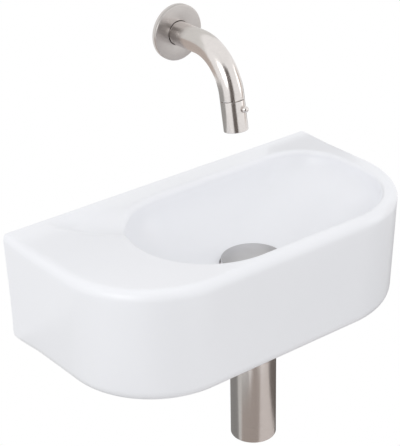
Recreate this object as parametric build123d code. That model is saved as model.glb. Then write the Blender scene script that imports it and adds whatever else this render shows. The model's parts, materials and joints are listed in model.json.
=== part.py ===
"""Wall-hung hand basin with its wall tap, free-flow waste and bottle trap.

Millimetres. +X runs right along the wall, +Y into the wall, +Z up, and y = 0 is the wall's face.
The origin lies on the wall's face, midway between the basin's two wall fixings.
"""

import os
from math import cos, radians, sin, sqrt

from build123d import *

# Basin, outside
RIM_ABOVE_FIXINGS = 45.0
BASIN_WIDTH = 380.0
BASIN_DEPTH = 201.0
BASIN_HEIGHT = 116.8
LEFT_CORNER_R = 96.5
RIGHT_CORNER_R = 103.0
SIDE_DRAFT_DEG = 2.33
TOP_EDGE_R = 10.0
BOTTOM_EDGE_R = 13.0
BACK_EDGE_R = 3.0
# Bowl, as clear distances from the basin's outside and as depths below the rim
DECK_WIDTH = 82.5
RIGHT_RIM = 24.0
FRONT_RIM = 14.0
BACK_RIM = 28.5
BOWL_DEPTH = 56.0
BOWL_EDGE_R = 2.5
# Corner rounding of the bowl, as shares of half its width
END_ROUND_SHARE = 0.98
BACK_RIGHT_ROUND_SHARE = 0.64
# Powers of each bowl wall's curve: steepness at the rim, and flatness of the floor below it
LEFT_WALL_POWER, LEFT_FLOOR_POWER = 2.4, 2.3
RIGHT_WALL_POWER, RIGHT_FLOOR_POWER = 2.3, 1.35
FRONT_WALL_POWER, FRONT_FLOOR_POWER = 2.2, 2.1
BACK_WALL_POWER, BACK_FLOOR_POWER = 1.9, 1.9
# Shallow dip in the deck behind the bowl's left end, as distances from the left side and from the wall
DIP_DEPTH = 5.5
DIP_AT_WALL_START, DIP_AT_WALL_END = 50.0, 104.0
DIP_AT_BOWL_START, DIP_START_FROM_WALL = 91.0, 86.0
DIP_AT_BOWL_END, DIP_END_FROM_WALL = 132.0, 38.0
DIP_LOW_SHARE = 0.55
# Ceramic
SHELL_WALL = 10.0
BOWL_WALL = 9.0
BACK_WALL = 14.0
DECK_THICKNESS = 14.0
SEAT_THICKNESS = 12.0
# Wall fixings
FIXING_SPACING = 200.0
STUD_R = 5.0
STUD_THREAD_R = 4.9
STUD_IN_WALL = 60.0
STUD_PAST_NUT = 4.0
STUD_CHAMFER = 1.0
FIXING_HOLE_R = 7.5
BUSH_FLANGE_R = 12.0
BUSH_FLANGE = 2.0
WASHER = 2.0
FIXING_NUT = 8.0
FIXING_NUT_FLATS = 17.0
NUT_CORNER_CUT = 1.0
# Waste
DRAIN_X = 20.0
DRAIN_FROM_WALL = 113.7
COVER_R = 31.0
COVER = 2.5
COVER_TOP_ABOVE_FLOOR = 5.6
COVER_BOSS_WALL = 1.5
STEM_SPIGOT_STEP = 1.0
FLANGE_R = 32.0
FLANGE = 2.5
GASKET = 1.5
DRAIN_HOLE_R = 23.0
TAIL_R = 20.95
TAIL_WALL = 2.2
TAIL_LENGTH = 42.0
STEM_R = 4.0
STEM_SPIGOT = 3.0
STEM_LENGTH = 30.0
GUIDE_R = 7.0
GUIDE_HEIGHT = 12.0
GUIDE_ARM = 3.0
LOWER_GASKET = 5.0
SLIP_WASHER = 1.5
BACKNUT = 10.0
BACKNUT_R = 30.0
BACKNUT_FLANGE = 2.5
BACKNUT_FLATS = 50.4
# Trap
TRAP_R = 23.3
TRAP_WALL = 2.0
TRAP_FLOOR = 2.5
TRAP_EDGE_R = 1.5
CUP_HEIGHT = 103.3
CUP_SPIGOT = 5.0
CUP_RING = 1.5
HEAD_SKIRT = 42.0
HEAD_TOP = 3.0
NECK_R = 18.0
NECK_GAP = 1.0
COLLAR = 3.0
COLLAR_R = 20.4
INLET_SEAL = 2.0
DIP_TUBE_R = 15.5
DIP_TUBE_WALL = 1.5
DIP_FLANGE = 1.0
DIP_TUBE_FLOOR_GAP = 26.0
INLET_NUT_R = 27.0
NUT_LIP = 3.0
NUT_ENGAGE = 8.0
NUT_RIBS = 24
NUT_RIB_R = 0.8
BRANCH_R = 17.6
BRANCH_LENGTH = 20.0
BRANCH_SOCKET = 14.0
OUTLET_NUT_R = 22.0
OUTLET_SEAL = 3.0
PIPE_R = 16.0
PIPE_WALL = 1.0
PIPE_IN_WALL = 40.0
PIPE_END_R = 15.8
PIPE_ROSETTE_R = 32.0
PIPE_ROSETTE_DEPTH = 9.0
PIPE_ROSETTE_ROUND = 4.5
PIPE_ROSETTE_FACE = 2.7
PIPE_GRIP = 1.2
PIPE_CUT_OUT_GAP = 2.0
# Tap
TAP_ABOVE_RIM = 149.0
ROSETTE_R = 27.5
ROSETTE = 5.5
ROSETTE_EDGE = 0.9
ROSETTE_GAP = 0.9
ROSETTE_RING = 1.5
SPOUT_R = 11.25
SPOUT_WALL = 1.5
SPOUT_STRAIGHT = 37.3
SPOUT_BEND_R = 47.9
SPOUT_BEND_DEG = 80.0
SPOUT_END_STRAIGHT = 33.5
NIPPLE_IN_SPOUT = 24.0
NIPPLE_COLLAR = 2.0
NIPPLE_THREAD = 26.0
NIPPLE_THREAD_R = 10.48
NIPPLE_BORE_R = 6.0
GRUB_R = 2.0
GRUB_FROM_WALL = 12.0
GRUB_DIMPLE = 0.8
GRUB_SOCKET = 1.2
# Tap's end sleeve and valve, as heights above the spout's tip
SLEEVE_LENGTH = 29.0
SLEEVE_LINE = 0.4
SLEEVE_EDGE = 0.7
SLEEVE_BORE_R = 9.4
SLEEVE_SHOULDER = 21.0
VALVE_PLUG = 4.0
NECK_JOURNAL_R = 8.2
NECK_END = 18.5
VALVE_BORE_R = 5.6
CIRCLIP = 1.2
CIRCLIP_DEPTH = 0.8
CIRCLIP_GAP = 2.2
JOURNAL_RING_ABOVE = 4.0
DISC = 2.5
DISC_R = 8.0
PORT_R = 2.2
PORT_OFFSET = 4.4
DOG_WIDTH = 3.0
DOG_DEPTH = 1.4
AERATOR_RECESS = 0.6
AERATOR_HEIGHT = 6.5
AERATOR_WALL = 1.4
AERATOR_LIP = 0.8
AERATOR_SEAL_WIDTH = 3.9
AERATOR_SEAL = 1.5
JET_R = 0.55
JET_PITCH = 2.2
# Lever pin in the sleeve
LEVER_HEIGHT = 20.0
LEVER_TURN_DEG = 15.0
LEVER_BALL_R = 3.3
LEVER_STEM_R = 2.7
LEVER_THREAD_R = 1.8
LEVER_REACH = 13.0
# Rubber rings and small edges
RING_WIDTH = 2.0
EDGE_STEP = 1.0
EDGE_CHAMFER = 1.0
# Clearances
RUNNING = 0.05
LOOSE = 0.3
SNUG = 0.1

# Places worked out from the sizes above
RIM_Z = RIM_ABOVE_FIXINGS
BASE_Z = RIM_Z - BASIN_HEIGHT
DRAIN_Y = -DRAIN_FROM_WALL
FLOOR_Z = RIM_Z - BOWL_DEPTH
SEAT_Z = FLOOR_Z - FLANGE - GASKET
UNDER_SEAT_Z = SEAT_Z - SEAT_THICKNESS
TAIL_END_Z = FLOOR_Z - TAIL_LENGTH
COVER_TOP_Z = FLOOR_Z + COVER_TOP_ABOVE_FLOOR
COLLAR_Z = TAIL_END_Z - INLET_SEAL - DIP_FLANGE - COLLAR
HEAD_TOP_Z = COLLAR_Z - NUT_LIP - NECK_GAP
CUP_TOP_Z = HEAD_TOP_Z - HEAD_SKIRT
TRAP_BOTTOM_Z = CUP_TOP_Z - CUP_HEIGHT
BRANCH_Z = HEAD_TOP_Z - HEAD_TOP - BRANCH_R
BRANCH_END_Y = DRAIN_Y + TRAP_R + BRANCH_LENGTH
TAP_Z = RIM_Z + TAP_ABOVE_RIM
SEAT_R = FLANGE_R + LOOSE
TAP_END_TILT = 90.0 - SPOUT_BEND_DEG


def disc(radius, low, high):
    """Upright cylinder on the Z axis between two heights."""
    return Pos(0, 0, low) * extrude(Circle(radius), high - low)


def ring(outer, inner, low, high):
    """Upright tube on the Z axis between two heights."""
    return disc(outer, low, high) - disc(inner, low - 1, high + 1)


def at_drain(shape):
    """Carries a shape from the Z axis to the drain's axis."""
    return Pos(DRAIN_X, DRAIN_Y, 0) * shape


def from_wall(shape, x, z):
    """Lays a shape on the Z axis along +Y, at one place of the wall's face."""
    return Pos(x, 0, z) * Rot(-90, 0, 0) * shape


def hexagon(flats, low, high):
    """Hexagonal prism on the Z axis, from its width across the flats."""
    return Pos(0, 0, low) * extrude(RegularPolygon(flats / sqrt(3), 6), high - low)


# Basin


def outer_outline(inset, behind):
    """Plan of the basin's outside drawn in by one inset, closed by a straight line behind the wall."""
    left, right = -BASIN_WIDTH / 2 + inset, BASIN_WIDTH / 2 - inset
    front = -BASIN_DEPTH + inset
    left_r, right_r = LEFT_CORNER_R - inset, RIGHT_CORNER_R - inset
    diagonal = 1 - sqrt(0.5)
    edges = [
        Line((left, behind), (left, front + left_r)),
        ThreePointArc(
            (left, front + left_r),
            (left + left_r * diagonal, front + left_r * diagonal),
            (left + left_r, front),
        ),
        Line((left + left_r, front), (right - right_r, front)),
        ThreePointArc(
            (right - right_r, front),
            (right - right_r * diagonal, front + right_r * diagonal),
            (right, front + right_r),
        ),
        Line((right, front + right_r), (right, behind)),
        Line((right, behind), (left, behind)),
    ]
    return make_face(edges)


def wall_inset(share, wall, floor):
    """How far in a bowl wall stands at a share of the depth, from 0 at the rim to 1 at the drain.

    It follows a quarter of a rounded square: (1 - inset)^floor + share^wall = 1.
    """
    return 1 - (1 - share**wall) ** (1 / floor)


def bowl_section(share, grow=0.0):
    """Plan of the bowl at a share of its depth, grown outwards by the ceramic's thickness if wanted.

    Each side moves in from the rim to the waste's seat by its own curve, and arcs join the sides.
    """
    rim_left = -BASIN_WIDTH / 2 + DECK_WIDTH
    rim_right = BASIN_WIDTH / 2 - RIGHT_RIM
    rim_front = -BASIN_DEPTH + FRONT_RIM
    rim_back = -BACK_RIM
    left_in = wall_inset(share, LEFT_WALL_POWER, LEFT_FLOOR_POWER)
    right_in = wall_inset(share, RIGHT_WALL_POWER, RIGHT_FLOOR_POWER)
    front_in = wall_inset(share, FRONT_WALL_POWER, FRONT_FLOOR_POWER)
    back_in = wall_inset(share, BACK_WALL_POWER, BACK_FLOOR_POWER)
    left = rim_left + (DRAIN_X - SEAT_R - rim_left) * left_in - grow
    right = rim_right + (DRAIN_X + SEAT_R - rim_right) * right_in + grow
    front = rim_front + (DRAIN_Y - SEAT_R - rim_front) * front_in - grow
    back = rim_back + (DRAIN_Y + SEAT_R - rim_back) * back_in + grow
    half = (back - front) / 2
    full = END_ROUND_SHARE * half
    back_right = (BACK_RIGHT_ROUND_SHARE + (END_ROUND_SHARE - BACK_RIGHT_ROUND_SHARE) * share**2) * half
    corners = (
        (left, front, 1, 1, full),
        (right, front, -1, 1, full),
        (right, back, -1, -1, back_right),
        (left, back, 1, -1, full),
    )
    diagonal = 1 - sqrt(0.5)
    starts, arcs, ends = [], [], []
    for x, y, to_x, to_y, radius in corners:
        on_side = (x, y + to_y * radius)
        on_end = (x + to_x * radius, y)
        first, last = (on_side, on_end) if to_x == to_y else (on_end, on_side)
        middle = (x + to_x * radius * diagonal, y + to_y * radius * diagonal)
        arcs.append(ThreePointArc(first, middle, last))
        starts.append(first)
        ends.append(last)
    lines = [Line(ends[i], starts[(i + 1) % 4]) for i in range(4)]
    return make_face([edge for pair in zip(arcs, lines) for edge in pair])


def bowl_form(grow=0.0, drop=0.0):
    """The bowl's hollow below the rim, or with grow and drop the ceramic's outside below it."""
    shares = (0.0, 0.12, 0.28, 0.46, 0.64, 0.79, 0.90, 0.965, 1.0)
    depth = BOWL_DEPTH + drop
    sections = [Pos(0, 0, RIM_Z - share * depth) * bowl_section(share, grow) for share in shares]
    return loft(sections)


def outer_body():
    """Basin's outside: a drafted block with large front corners, upright at the wall, edges rounded."""
    behind = BASIN_DEPTH / 4
    body = Pos(0, 0, RIM_Z) * extrude(outer_outline(0.0, behind), -BASIN_HEIGHT, taper=SIDE_DRAFT_DEG)
    body -= Pos(0, BASIN_DEPTH, (RIM_Z + BASE_Z) / 2) * Box(
        2 * BASIN_WIDTH, 2 * BASIN_DEPTH, 2 * BASIN_HEIGHT
    )
    for height, radius in ((RIM_Z, TOP_EDGE_R), (BASE_Z, BOTTOM_EDGE_R)):
        level = [e for e in body.edges() if abs(e.center().Z - height) < 0.01 and e.center().Y < -1]
        body = fillet(level, radius)
    back = [e for e in body.edges() if abs(e.center().Y) < 0.001]
    return fillet(back, BACK_EDGE_R)


def recess_below():
    """Open hollow under the basin: inside the outer wall, outside the bowl's ceramic."""
    top = RIM_Z - DECK_THICKNESS
    outline = outer_outline(SHELL_WALL, BASIN_DEPTH / 4)
    hollow = Pos(0, 0, top) * extrude(outline, BASE_Z - top - 1, taper=SIDE_DRAFT_DEG)
    hollow -= Pos(0, BASIN_DEPTH - BACK_WALL, 0) * Box(2 * BASIN_WIDTH, 2 * BASIN_DEPTH, 4 * BASIN_HEIGHT)
    return hollow - bowl_form(BOWL_WALL, SEAT_THICKNESS + FLANGE + GASKET)


def dip_section(left, right, depth):
    """Upright section across the dip between two places of the deck, lowest at a share of the way."""
    level = Vector(0, 0, RIM_Z + RUNNING)
    start, end = Vector(*left) + level, Vector(*right) + level
    low = start + (end - start) * DIP_LOW_SHARE
    along = (end - start).normalized()
    bed = Spline(
        start,
        (start + low) / 2 - Vector(0, 0, depth / 2),
        low - Vector(0, 0, depth),
        (end + low) / 2 - Vector(0, 0, depth / 2),
        end,
        tangents=(along, along),
    )
    rise = Vector(0, 0, DIP_DEPTH)
    return make_face([bed, Polyline(end, end + rise, start + rise, start)])


def deck_dip():
    """Shallow dip with soft sides, level with the deck at the wall and deepest at the bowl's edge."""
    side = -BASIN_WIDTH / 2
    at_wall = dip_section((side + DIP_AT_WALL_START, 0), (side + DIP_AT_WALL_END, 0), 0)
    start = (side + DIP_AT_BOWL_START, -DIP_START_FROM_WALL)
    at_bowl = dip_section(start, (side + DIP_AT_BOWL_END, -DIP_END_FROM_WALL), DIP_DEPTH)
    return loft([at_wall, at_bowl], ruled=True)


def bowl_edges(basin):
    """The basin's edges round the mouth of the bowl, also where the dip lowers it."""
    mouth = bowl_section(0.0).face().outer_wire()
    found = []
    for edge in basin.edges():
        middle = edge @ 0.5
        near = mouth.distance_to(Vertex(middle.X, middle.Y, 0)) < BOWL_EDGE_R / 2
        if near and middle.Z > RIM_Z - DIP_DEPTH - RUNNING:
            found.append(edge)
    return found


def pipe_cut_out():
    """Arch in the back wall's lower edge, which leaves room for the outlet pipe and its wall plate."""
    radius = PIPE_ROSETTE_R + PIPE_CUT_OUT_GAP
    arch = from_wall(disc(radius, -BACK_WALL - 1, 1), DRAIN_X, BRANCH_Z)
    return arch + Pos(DRAIN_X, -BACK_WALL / 2, BRANCH_Z - BASIN_HEIGHT / 2) * Box(
        2 * radius, BACK_WALL + 2, BASIN_HEIGHT
    )


def make_basin():
    basin = outer_body() - deck_dip() - bowl_form()
    basin -= Pos(0, 0, RIM_Z) * extrude(bowl_section(0.0), TOP_EDGE_R)
    basin = fillet(bowl_edges(basin), BOWL_EDGE_R) - recess_below()
    basin -= at_drain(disc(SEAT_R, SEAT_Z, FLOOR_Z + 1))
    basin -= at_drain(disc(DRAIN_HOLE_R, UNDER_SEAT_Z - 1, SEAT_Z + 1))
    for x in (-FIXING_SPACING / 2, FIXING_SPACING / 2):
        basin -= from_wall(disc(FIXING_HOLE_R, -BACK_WALL - 1, 1), x, 0)
    return basin - pipe_cut_out()


# Wall fixings, each set laid on one hole's axis and repeated at the other


def at_fixings(shape):
    """Both copies of a piece that lies on the wall fixings' axes."""
    return [from_wall(shape, x, 0) for x in (-FIXING_SPACING / 2, FIXING_SPACING / 2)]


BUSH_BACK = -BACK_WALL - BUSH_FLANGE
NUT_BACK = BUSH_BACK - WASHER
STUD_END = NUT_BACK - FIXING_NUT - STUD_PAST_NUT


def make_wall_studs():
    """Hanger bolts: the thicker end goes into the wall, the thinner machine thread takes the nut."""
    stud = disc(STUD_R, SNUG, STUD_IN_WALL) + disc(STUD_THREAD_R, STUD_END, SNUG)
    ends = stud.faces().sort_by(Axis.Z)
    stud = chamfer(ends[0].edges() + ends[-1].edges(), STUD_CHAMFER)
    return at_fixings(stud)


def make_stud_bushes():
    sleeve = ring(FIXING_HOLE_R - SNUG, STUD_THREAD_R + SNUG, -BACK_WALL, -SNUG)
    flange = ring(BUSH_FLANGE_R, STUD_THREAD_R + SNUG, BUSH_BACK, -BACK_WALL)
    return at_fixings(sleeve + flange)


def make_stud_washers():
    return at_fixings(ring(BUSH_FLANGE_R - EDGE_STEP, STUD_THREAD_R + LOOSE, NUT_BACK, BUSH_BACK))


def make_stud_nuts():
    nut = hexagon(FIXING_NUT_FLATS, NUT_BACK - FIXING_NUT, NUT_BACK)
    small = FIXING_NUT_FLATS / sqrt(3) - NUT_CORNER_CUT
    cone = Pos(0, 0, NUT_BACK - FIXING_NUT) * Cone(
        small, small + FIXING_NUT, FIXING_NUT, align=(Align.CENTER, Align.CENTER, Align.MIN)
    )
    return at_fixings((nut & cone) - disc(STUD_THREAD_R + RUNNING, STUD_END, 0))


# Waste


def make_waste_cover():
    low = COVER_TOP_Z - COVER
    plate = fillet(disc(COVER_R, low, COVER_TOP_Z).edges().sort_by(Axis.Z)[-1], COVER * 0.45)
    boss = disc(STEM_R + COVER_BOSS_WALL, low - STEM_SPIGOT, low)
    socket = disc(STEM_R - STEM_SPIGOT_STEP, low - STEM_SPIGOT - 1, low)
    return at_drain(plate + boss - socket)


STEM_TOP_Z = COVER_TOP_Z - COVER - STEM_SPIGOT
STEM_LOW_Z = STEM_TOP_Z - STEM_LENGTH
RING_Z = STEM_LOW_Z + STEM_LENGTH / 4


def make_cover_stem():
    """Stem under the cover, stepped into its boss, with a groove for the gripping ring."""
    stem = disc(STEM_R, STEM_LOW_Z, STEM_TOP_Z)
    stem = chamfer(stem.edges().sort_by(Axis.Z)[0], STEM_R / 4)
    stem += disc(STEM_R - STEM_SPIGOT_STEP - RUNNING, STEM_TOP_Z, STEM_TOP_Z + STEM_SPIGOT)
    groove = ring(STEM_R + 1, STEM_R - RING_WIDTH / 2, RING_Z - RING_WIDTH / 2, RING_Z + RING_WIDTH / 2)
    return at_drain(stem - groove)


def groove_ring(outer, root, middle, width):
    """Rubber ring in a groove of the given root radius, with a running clearance to the groove's walls."""
    return ring(outer, root + RUNNING, middle - width / 2 + RUNNING, middle + width / 2 - RUNNING)


def make_cover_ring():
    return at_drain(groove_ring(STEM_R + LOOSE, STEM_R - RING_WIDTH / 2, RING_Z, RING_WIDTH))


GUIDE_TOP_Z = RING_Z + GUIDE_HEIGHT / 2
GUIDE_LOW_Z = RING_Z - GUIDE_HEIGHT / 2


def make_waste_body():
    """Flange, threaded tail, and the guide that takes the cover's stem, held by three arms."""
    bore = TAIL_R - TAIL_WALL
    body = ring(FLANGE_R, bore, FLOOR_Z - FLANGE, FLOOR_Z) + ring(TAIL_R, bore, TAIL_END_Z, FLOOR_Z)
    mouth = [
        e
        for e in body.edges().filter_by(GeomType.CIRCLE)
        if abs(e.radius - bore) < 0.01 and abs(e.center().Z - FLOOR_Z) < 0.01
    ]
    body = fillet(mouth, FLANGE * 0.6)
    guide_bore = STEM_R + LOOSE + SNUG
    body += ring(GUIDE_R, guide_bore, GUIDE_LOW_Z, GUIDE_TOP_Z)
    arm_length = bore + TAIL_WALL / 2 - (GUIDE_R + guide_bore) / 2
    arm = Pos((GUIDE_R + guide_bore) / 2 + arm_length / 2, 0, RING_Z) * Box(
        arm_length, GUIDE_ARM, GUIDE_HEIGHT * 0.8
    )
    for turn in (90, 210, 330):
        body += Rot(0, 0, turn) * arm
    return at_drain(body)


def make_flange_gasket():
    return at_drain(ring(FLANGE_R - EDGE_STEP, TAIL_R + SNUG, SEAT_Z, SEAT_Z + GASKET))


GASKET_LOW_Z = UNDER_SEAT_Z - LOWER_GASKET
BACKNUT_TOP_Z = GASKET_LOW_Z - SLIP_WASHER


def make_lower_gasket():
    body = ring(BACKNUT_R, TAIL_R + SNUG, GASKET_LOW_Z, UNDER_SEAT_Z)
    return at_drain(chamfer(body.faces().sort_by(Axis.Z)[-1].outer_wire().edges(), EDGE_CHAMFER))


def make_slip_washer():
    return at_drain(ring(BACKNUT_R - EDGE_STEP, TAIL_R + SNUG, BACKNUT_TOP_Z, GASKET_LOW_Z))


def make_waste_backnut():
    """Flanged nut on the tail, hexagonal below its flange."""
    flange = disc(BACKNUT_R, BACKNUT_TOP_Z - BACKNUT_FLANGE, BACKNUT_TOP_Z)
    hexagonal = hexagon(BACKNUT_FLATS, BACKNUT_TOP_Z - BACKNUT, BACKNUT_TOP_Z)
    return at_drain((flange + hexagonal) - disc(TAIL_R + RUNNING, BACKNUT_TOP_Z - BACKNUT - 1, RIM_Z))


# Trap


def ribbed_nut(outer, thread, lip, low, lip_top, high):
    """Round union nut: a threaded bore above an inward lip, with grip ribs round the outside."""
    nut = ring(outer, thread, lip_top, high) + ring(outer, lip, low, lip_top)
    outside = [e for e in nut.edges().filter_by(GeomType.CIRCLE) if abs(e.radius - outer) < RUNNING]
    ends = [e for e in outside if min(abs(e.center().Z - low), abs(e.center().Z - high)) < RUNNING]
    nut = chamfer(ends, NUT_RIB_R)
    notch = Pos(outer + NUT_RIB_R / 3, 0, (low + high) / 2) * Cylinder(NUT_RIB_R, high - low + 2)
    cutters = [Rot(0, 0, k * 360 / NUT_RIBS) * notch for k in range(NUT_RIBS)]
    return nut - cutters


COLLAR_TOP_Z = COLLAR_Z + COLLAR


def make_inlet_seal():
    return at_drain(ring(COLLAR_R, DIP_TUBE_R + EDGE_STEP, TAIL_END_Z - INLET_SEAL, TAIL_END_Z))


def make_inlet_nut():
    return at_drain(
        ribbed_nut(
            INLET_NUT_R,
            TAIL_R + RUNNING,
            NECK_R + LOOSE,
            COLLAR_Z - NUT_LIP,
            COLLAR_Z,
            TAIL_END_Z + NUT_ENGAGE,
        )
    )


def make_trap_head():
    """Upper half of the trap: collar and neck, body with its skirt, and the branch to the wall."""
    neck_bore = DIP_TUBE_R + SNUG
    spigot_bore = TRAP_R - TRAP_WALL - CUP_RING
    joint_top = CUP_TOP_Z + CUP_SPIGOT + CUP_RING
    under_top = HEAD_TOP_Z - HEAD_TOP
    head = disc(TRAP_R, CUP_TOP_Z, HEAD_TOP_Z)
    head = fillet(head.edges().sort_by(Axis.Z)[-1], TRAP_EDGE_R)
    branch = from_wall(disc(BRANCH_R, DRAIN_Y + TRAP_R / 2, BRANCH_END_Y), DRAIN_X, BRANCH_Z)
    head = at_drain(head + disc(NECK_R, HEAD_TOP_Z, COLLAR_Z + 1) + disc(COLLAR_R, COLLAR_Z, COLLAR_TOP_Z))
    head += branch
    head -= at_drain(disc(TRAP_R - TRAP_WALL, CUP_TOP_Z - 1, joint_top))
    head -= at_drain(disc(spigot_bore, joint_top - 1, under_top))
    head -= at_drain(disc(neck_bore, under_top - 1, COLLAR_TOP_Z + 1))
    water = from_wall(disc(PIPE_R - PIPE_WALL, DRAIN_Y, BRANCH_END_Y + 1), DRAIN_X, BRANCH_Z)
    socket = from_wall(
        disc(PIPE_R + RUNNING, BRANCH_END_Y - BRANCH_SOCKET, BRANCH_END_Y + 1), DRAIN_X, BRANCH_Z
    )
    return head - water - socket


DIP_TUBE_LOW_Z = TRAP_BOTTOM_Z + DIP_TUBE_FLOOR_GAP


def make_dip_tube():
    """Inner tube that carries the water down into the cup, hung by a thin flange on the collar."""
    bore = DIP_TUBE_R - DIP_TUBE_WALL
    tube = ring(DIP_TUBE_R, bore, DIP_TUBE_LOW_Z, COLLAR_TOP_Z + DIP_FLANGE)
    return at_drain(tube + ring(COLLAR_R - EDGE_STEP, bore, COLLAR_TOP_Z, COLLAR_TOP_Z + DIP_FLANGE))


def make_trap_cup():
    """Lower half of the trap, closed below, with a spigot that goes up into the head's skirt."""
    spigot_r = TRAP_R - TRAP_WALL - LOOSE
    top = CUP_TOP_Z - LOOSE
    cup = disc(TRAP_R, TRAP_BOTTOM_Z, top)
    cup = fillet(cup.edges().sort_by(Axis.Z)[0], TRAP_EDGE_R)
    cup += disc(spigot_r, top - 1, CUP_TOP_Z + CUP_SPIGOT)
    bore = min(TRAP_R - TRAP_WALL, spigot_r - TRAP_WALL)
    hollow = disc(bore, TRAP_BOTTOM_Z + TRAP_FLOOR, CUP_TOP_Z + CUP_SPIGOT + 1)
    return at_drain(cup - hollow)


def make_cup_ring():
    outer = TRAP_R - TRAP_WALL - SNUG
    low = CUP_TOP_Z + CUP_SPIGOT + SNUG
    return at_drain(ring(outer, outer - CUP_RING, low, low + CUP_RING - SNUG))


def make_outlet_nut():
    nut = ribbed_nut(
        OUTLET_NUT_R,
        BRANCH_R + RUNNING,
        PIPE_R + LOOSE,
        -BRANCH_END_Y - OUTLET_SEAL - NUT_LIP,
        -BRANCH_END_Y - OUTLET_SEAL,
        -BRANCH_END_Y + NUT_ENGAGE,
    )
    return Pos(DRAIN_X, 0, BRANCH_Z) * Rot(90, 0, 0) * nut


def make_outlet_seal():
    seal = ring(BRANCH_R - SNUG, PIPE_R + SNUG, BRANCH_END_Y, BRANCH_END_Y + OUTLET_SEAL)
    return from_wall(seal, DRAIN_X, BRANCH_Z)


def make_outlet_pipe():
    """Pipe from the branch to the wall. The end in the wall is sized down a little to slide in."""
    start = BRANCH_END_Y - BRANCH_SOCKET + SNUG
    pipe = disc(PIPE_R, start, SNUG) + disc(PIPE_END_R, SNUG, PIPE_IN_WALL)
    return from_wall(pipe - disc(PIPE_R - PIPE_WALL, start - 1, PIPE_IN_WALL + 1), DRAIN_X, BRANCH_Z)


def make_outlet_rosette():
    """Shallow domed plate on the wall round the pipe, open at the back."""
    plate = disc(PIPE_ROSETTE_R, -PIPE_ROSETTE_DEPTH, 0)
    plate = fillet(plate.edges().sort_by(Axis.Z)[0], PIPE_ROSETTE_ROUND)
    inside = disc(PIPE_ROSETTE_R - PIPE_ROSETTE_ROUND, PIPE_ROSETTE_FACE - PIPE_ROSETTE_DEPTH, 1)
    hole = disc(PIPE_R + PIPE_GRIP, -PIPE_ROSETTE_DEPTH - 1, 1)
    return from_wall(plate - inside - hole, DRAIN_X, BRANCH_Z)


def make_outlet_grip():
    front = -PIPE_ROSETTE_DEPTH
    grip = ring(PIPE_R + PIPE_GRIP - SNUG, PIPE_R + RUNNING, front, front + PIPE_ROSETTE_FACE)
    return from_wall(grip, DRAIN_X, BRANCH_Z)


# Tap


def on_tap(shape):
    """Lays a shape on the Z axis along +Y on the tap's axis."""
    return from_wall(shape, DRAIN_X, TAP_Z)


def make_tap_rosette():
    plate = disc(ROSETTE_R, -ROSETTE, 0)
    plate = fillet(plate.edges().sort_by(Axis.Z)[0], ROSETTE_EDGE)
    plate -= disc(SPOUT_R + ROSETTE_GAP, -ROSETTE - 1, 1)
    return on_tap(plate)


def make_rosette_ring():
    low = -ROSETTE / 2 - ROSETTE_RING / 2
    return on_tap(ring(SPOUT_R + ROSETTE_GAP - RUNNING, SPOUT_R + RUNNING, low, low + ROSETTE_RING))


BEND = radians(SPOUT_BEND_DEG)
TUBE_END = SPOUT_END_STRAIGHT - SLEEVE_LENGTH
TIP_Y = -(SPOUT_STRAIGHT + SPOUT_BEND_R * sin(BEND) + SPOUT_END_STRAIGHT * cos(BEND))
TIP_Z = TAP_Z - SPOUT_BEND_R * (1 - cos(BEND)) - SPOUT_END_STRAIGHT * sin(BEND)


def spout_path():
    """Centre line of the fixed spout: straight from the wall, one bend, and a short straight end."""
    bend_y = -SPOUT_STRAIGHT
    arc_y, arc_z = bend_y - SPOUT_BEND_R * sin(BEND), TAP_Z - SPOUT_BEND_R * (1 - cos(BEND))
    half_y = bend_y - SPOUT_BEND_R * sin(BEND / 2)
    half_z = TAP_Z - SPOUT_BEND_R * (1 - cos(BEND / 2))
    end_y, end_z = arc_y - TUBE_END * cos(BEND), arc_z - TUBE_END * sin(BEND)
    return Wire(
        [
            Edge.make_line((DRAIN_X, 0, TAP_Z), (DRAIN_X, bend_y, TAP_Z)),
            Edge.make_three_point_arc(
                (DRAIN_X, bend_y, TAP_Z), (DRAIN_X, half_y, half_z), (DRAIN_X, arc_y, arc_z)
            ),
            Edge.make_line((DRAIN_X, arc_y, arc_z), (DRAIN_X, end_y, end_z)),
        ]
    )


def make_spout_tube():
    mouth = Plane(origin=(DRAIN_X, 0, TAP_Z), z_dir=(0, -1, 0))
    section = mouth * (Circle(SPOUT_R) - Circle(SPOUT_R - SPOUT_WALL))
    tube = sweep(section, path=spout_path())
    screw_hole = Cylinder(GRUB_R + RUNNING, 3 * SPOUT_WALL)
    return tube - Pos(DRAIN_X, -GRUB_FROM_WALL, TAP_Z - SPOUT_R) * screw_hole


NIPPLE_R = SPOUT_R - SPOUT_WALL - SNUG


def nipple_grooves():
    """Middle of each O-ring groove, as distances from the wall's face along +Y."""
    return (-NIPPLE_IN_SPOUT * 0.88, -NIPPLE_IN_SPOUT * 0.7)


def make_inlet_nipple():
    """Spigot in the spout, a collar on the wall's face, and the threaded end that goes into the wall."""
    spigot = disc(NIPPLE_R, -NIPPLE_IN_SPOUT, SNUG)
    collar = disc(SPOUT_R, SNUG, SNUG + NIPPLE_COLLAR)
    thread = disc(NIPPLE_THREAD_R, SNUG, SNUG + NIPPLE_COLLAR + NIPPLE_THREAD)
    thread = chamfer(thread.edges().sort_by(Axis.Z)[-1], EDGE_CHAMFER)
    bore = disc(NIPPLE_BORE_R, -NIPPLE_IN_SPOUT - 1, NIPPLE_COLLAR + NIPPLE_THREAD + 1)
    nipple = spigot + collar + thread - bore
    for middle in nipple_grooves():
        low, high = middle - RING_WIDTH / 2, middle + RING_WIDTH / 2
        nipple -= ring(NIPPLE_R + 1, NIPPLE_R - RING_WIDTH / 2, low, high)
    tip = NIPPLE_R - GRUB_DIMPLE
    dimple = Pos(0, 0, -GRUB_FROM_WALL) * Rot(-90, 0, 0) * disc(GRUB_R + SNUG, tip, SPOUT_R)
    return on_tap(nipple - dimple)


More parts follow.
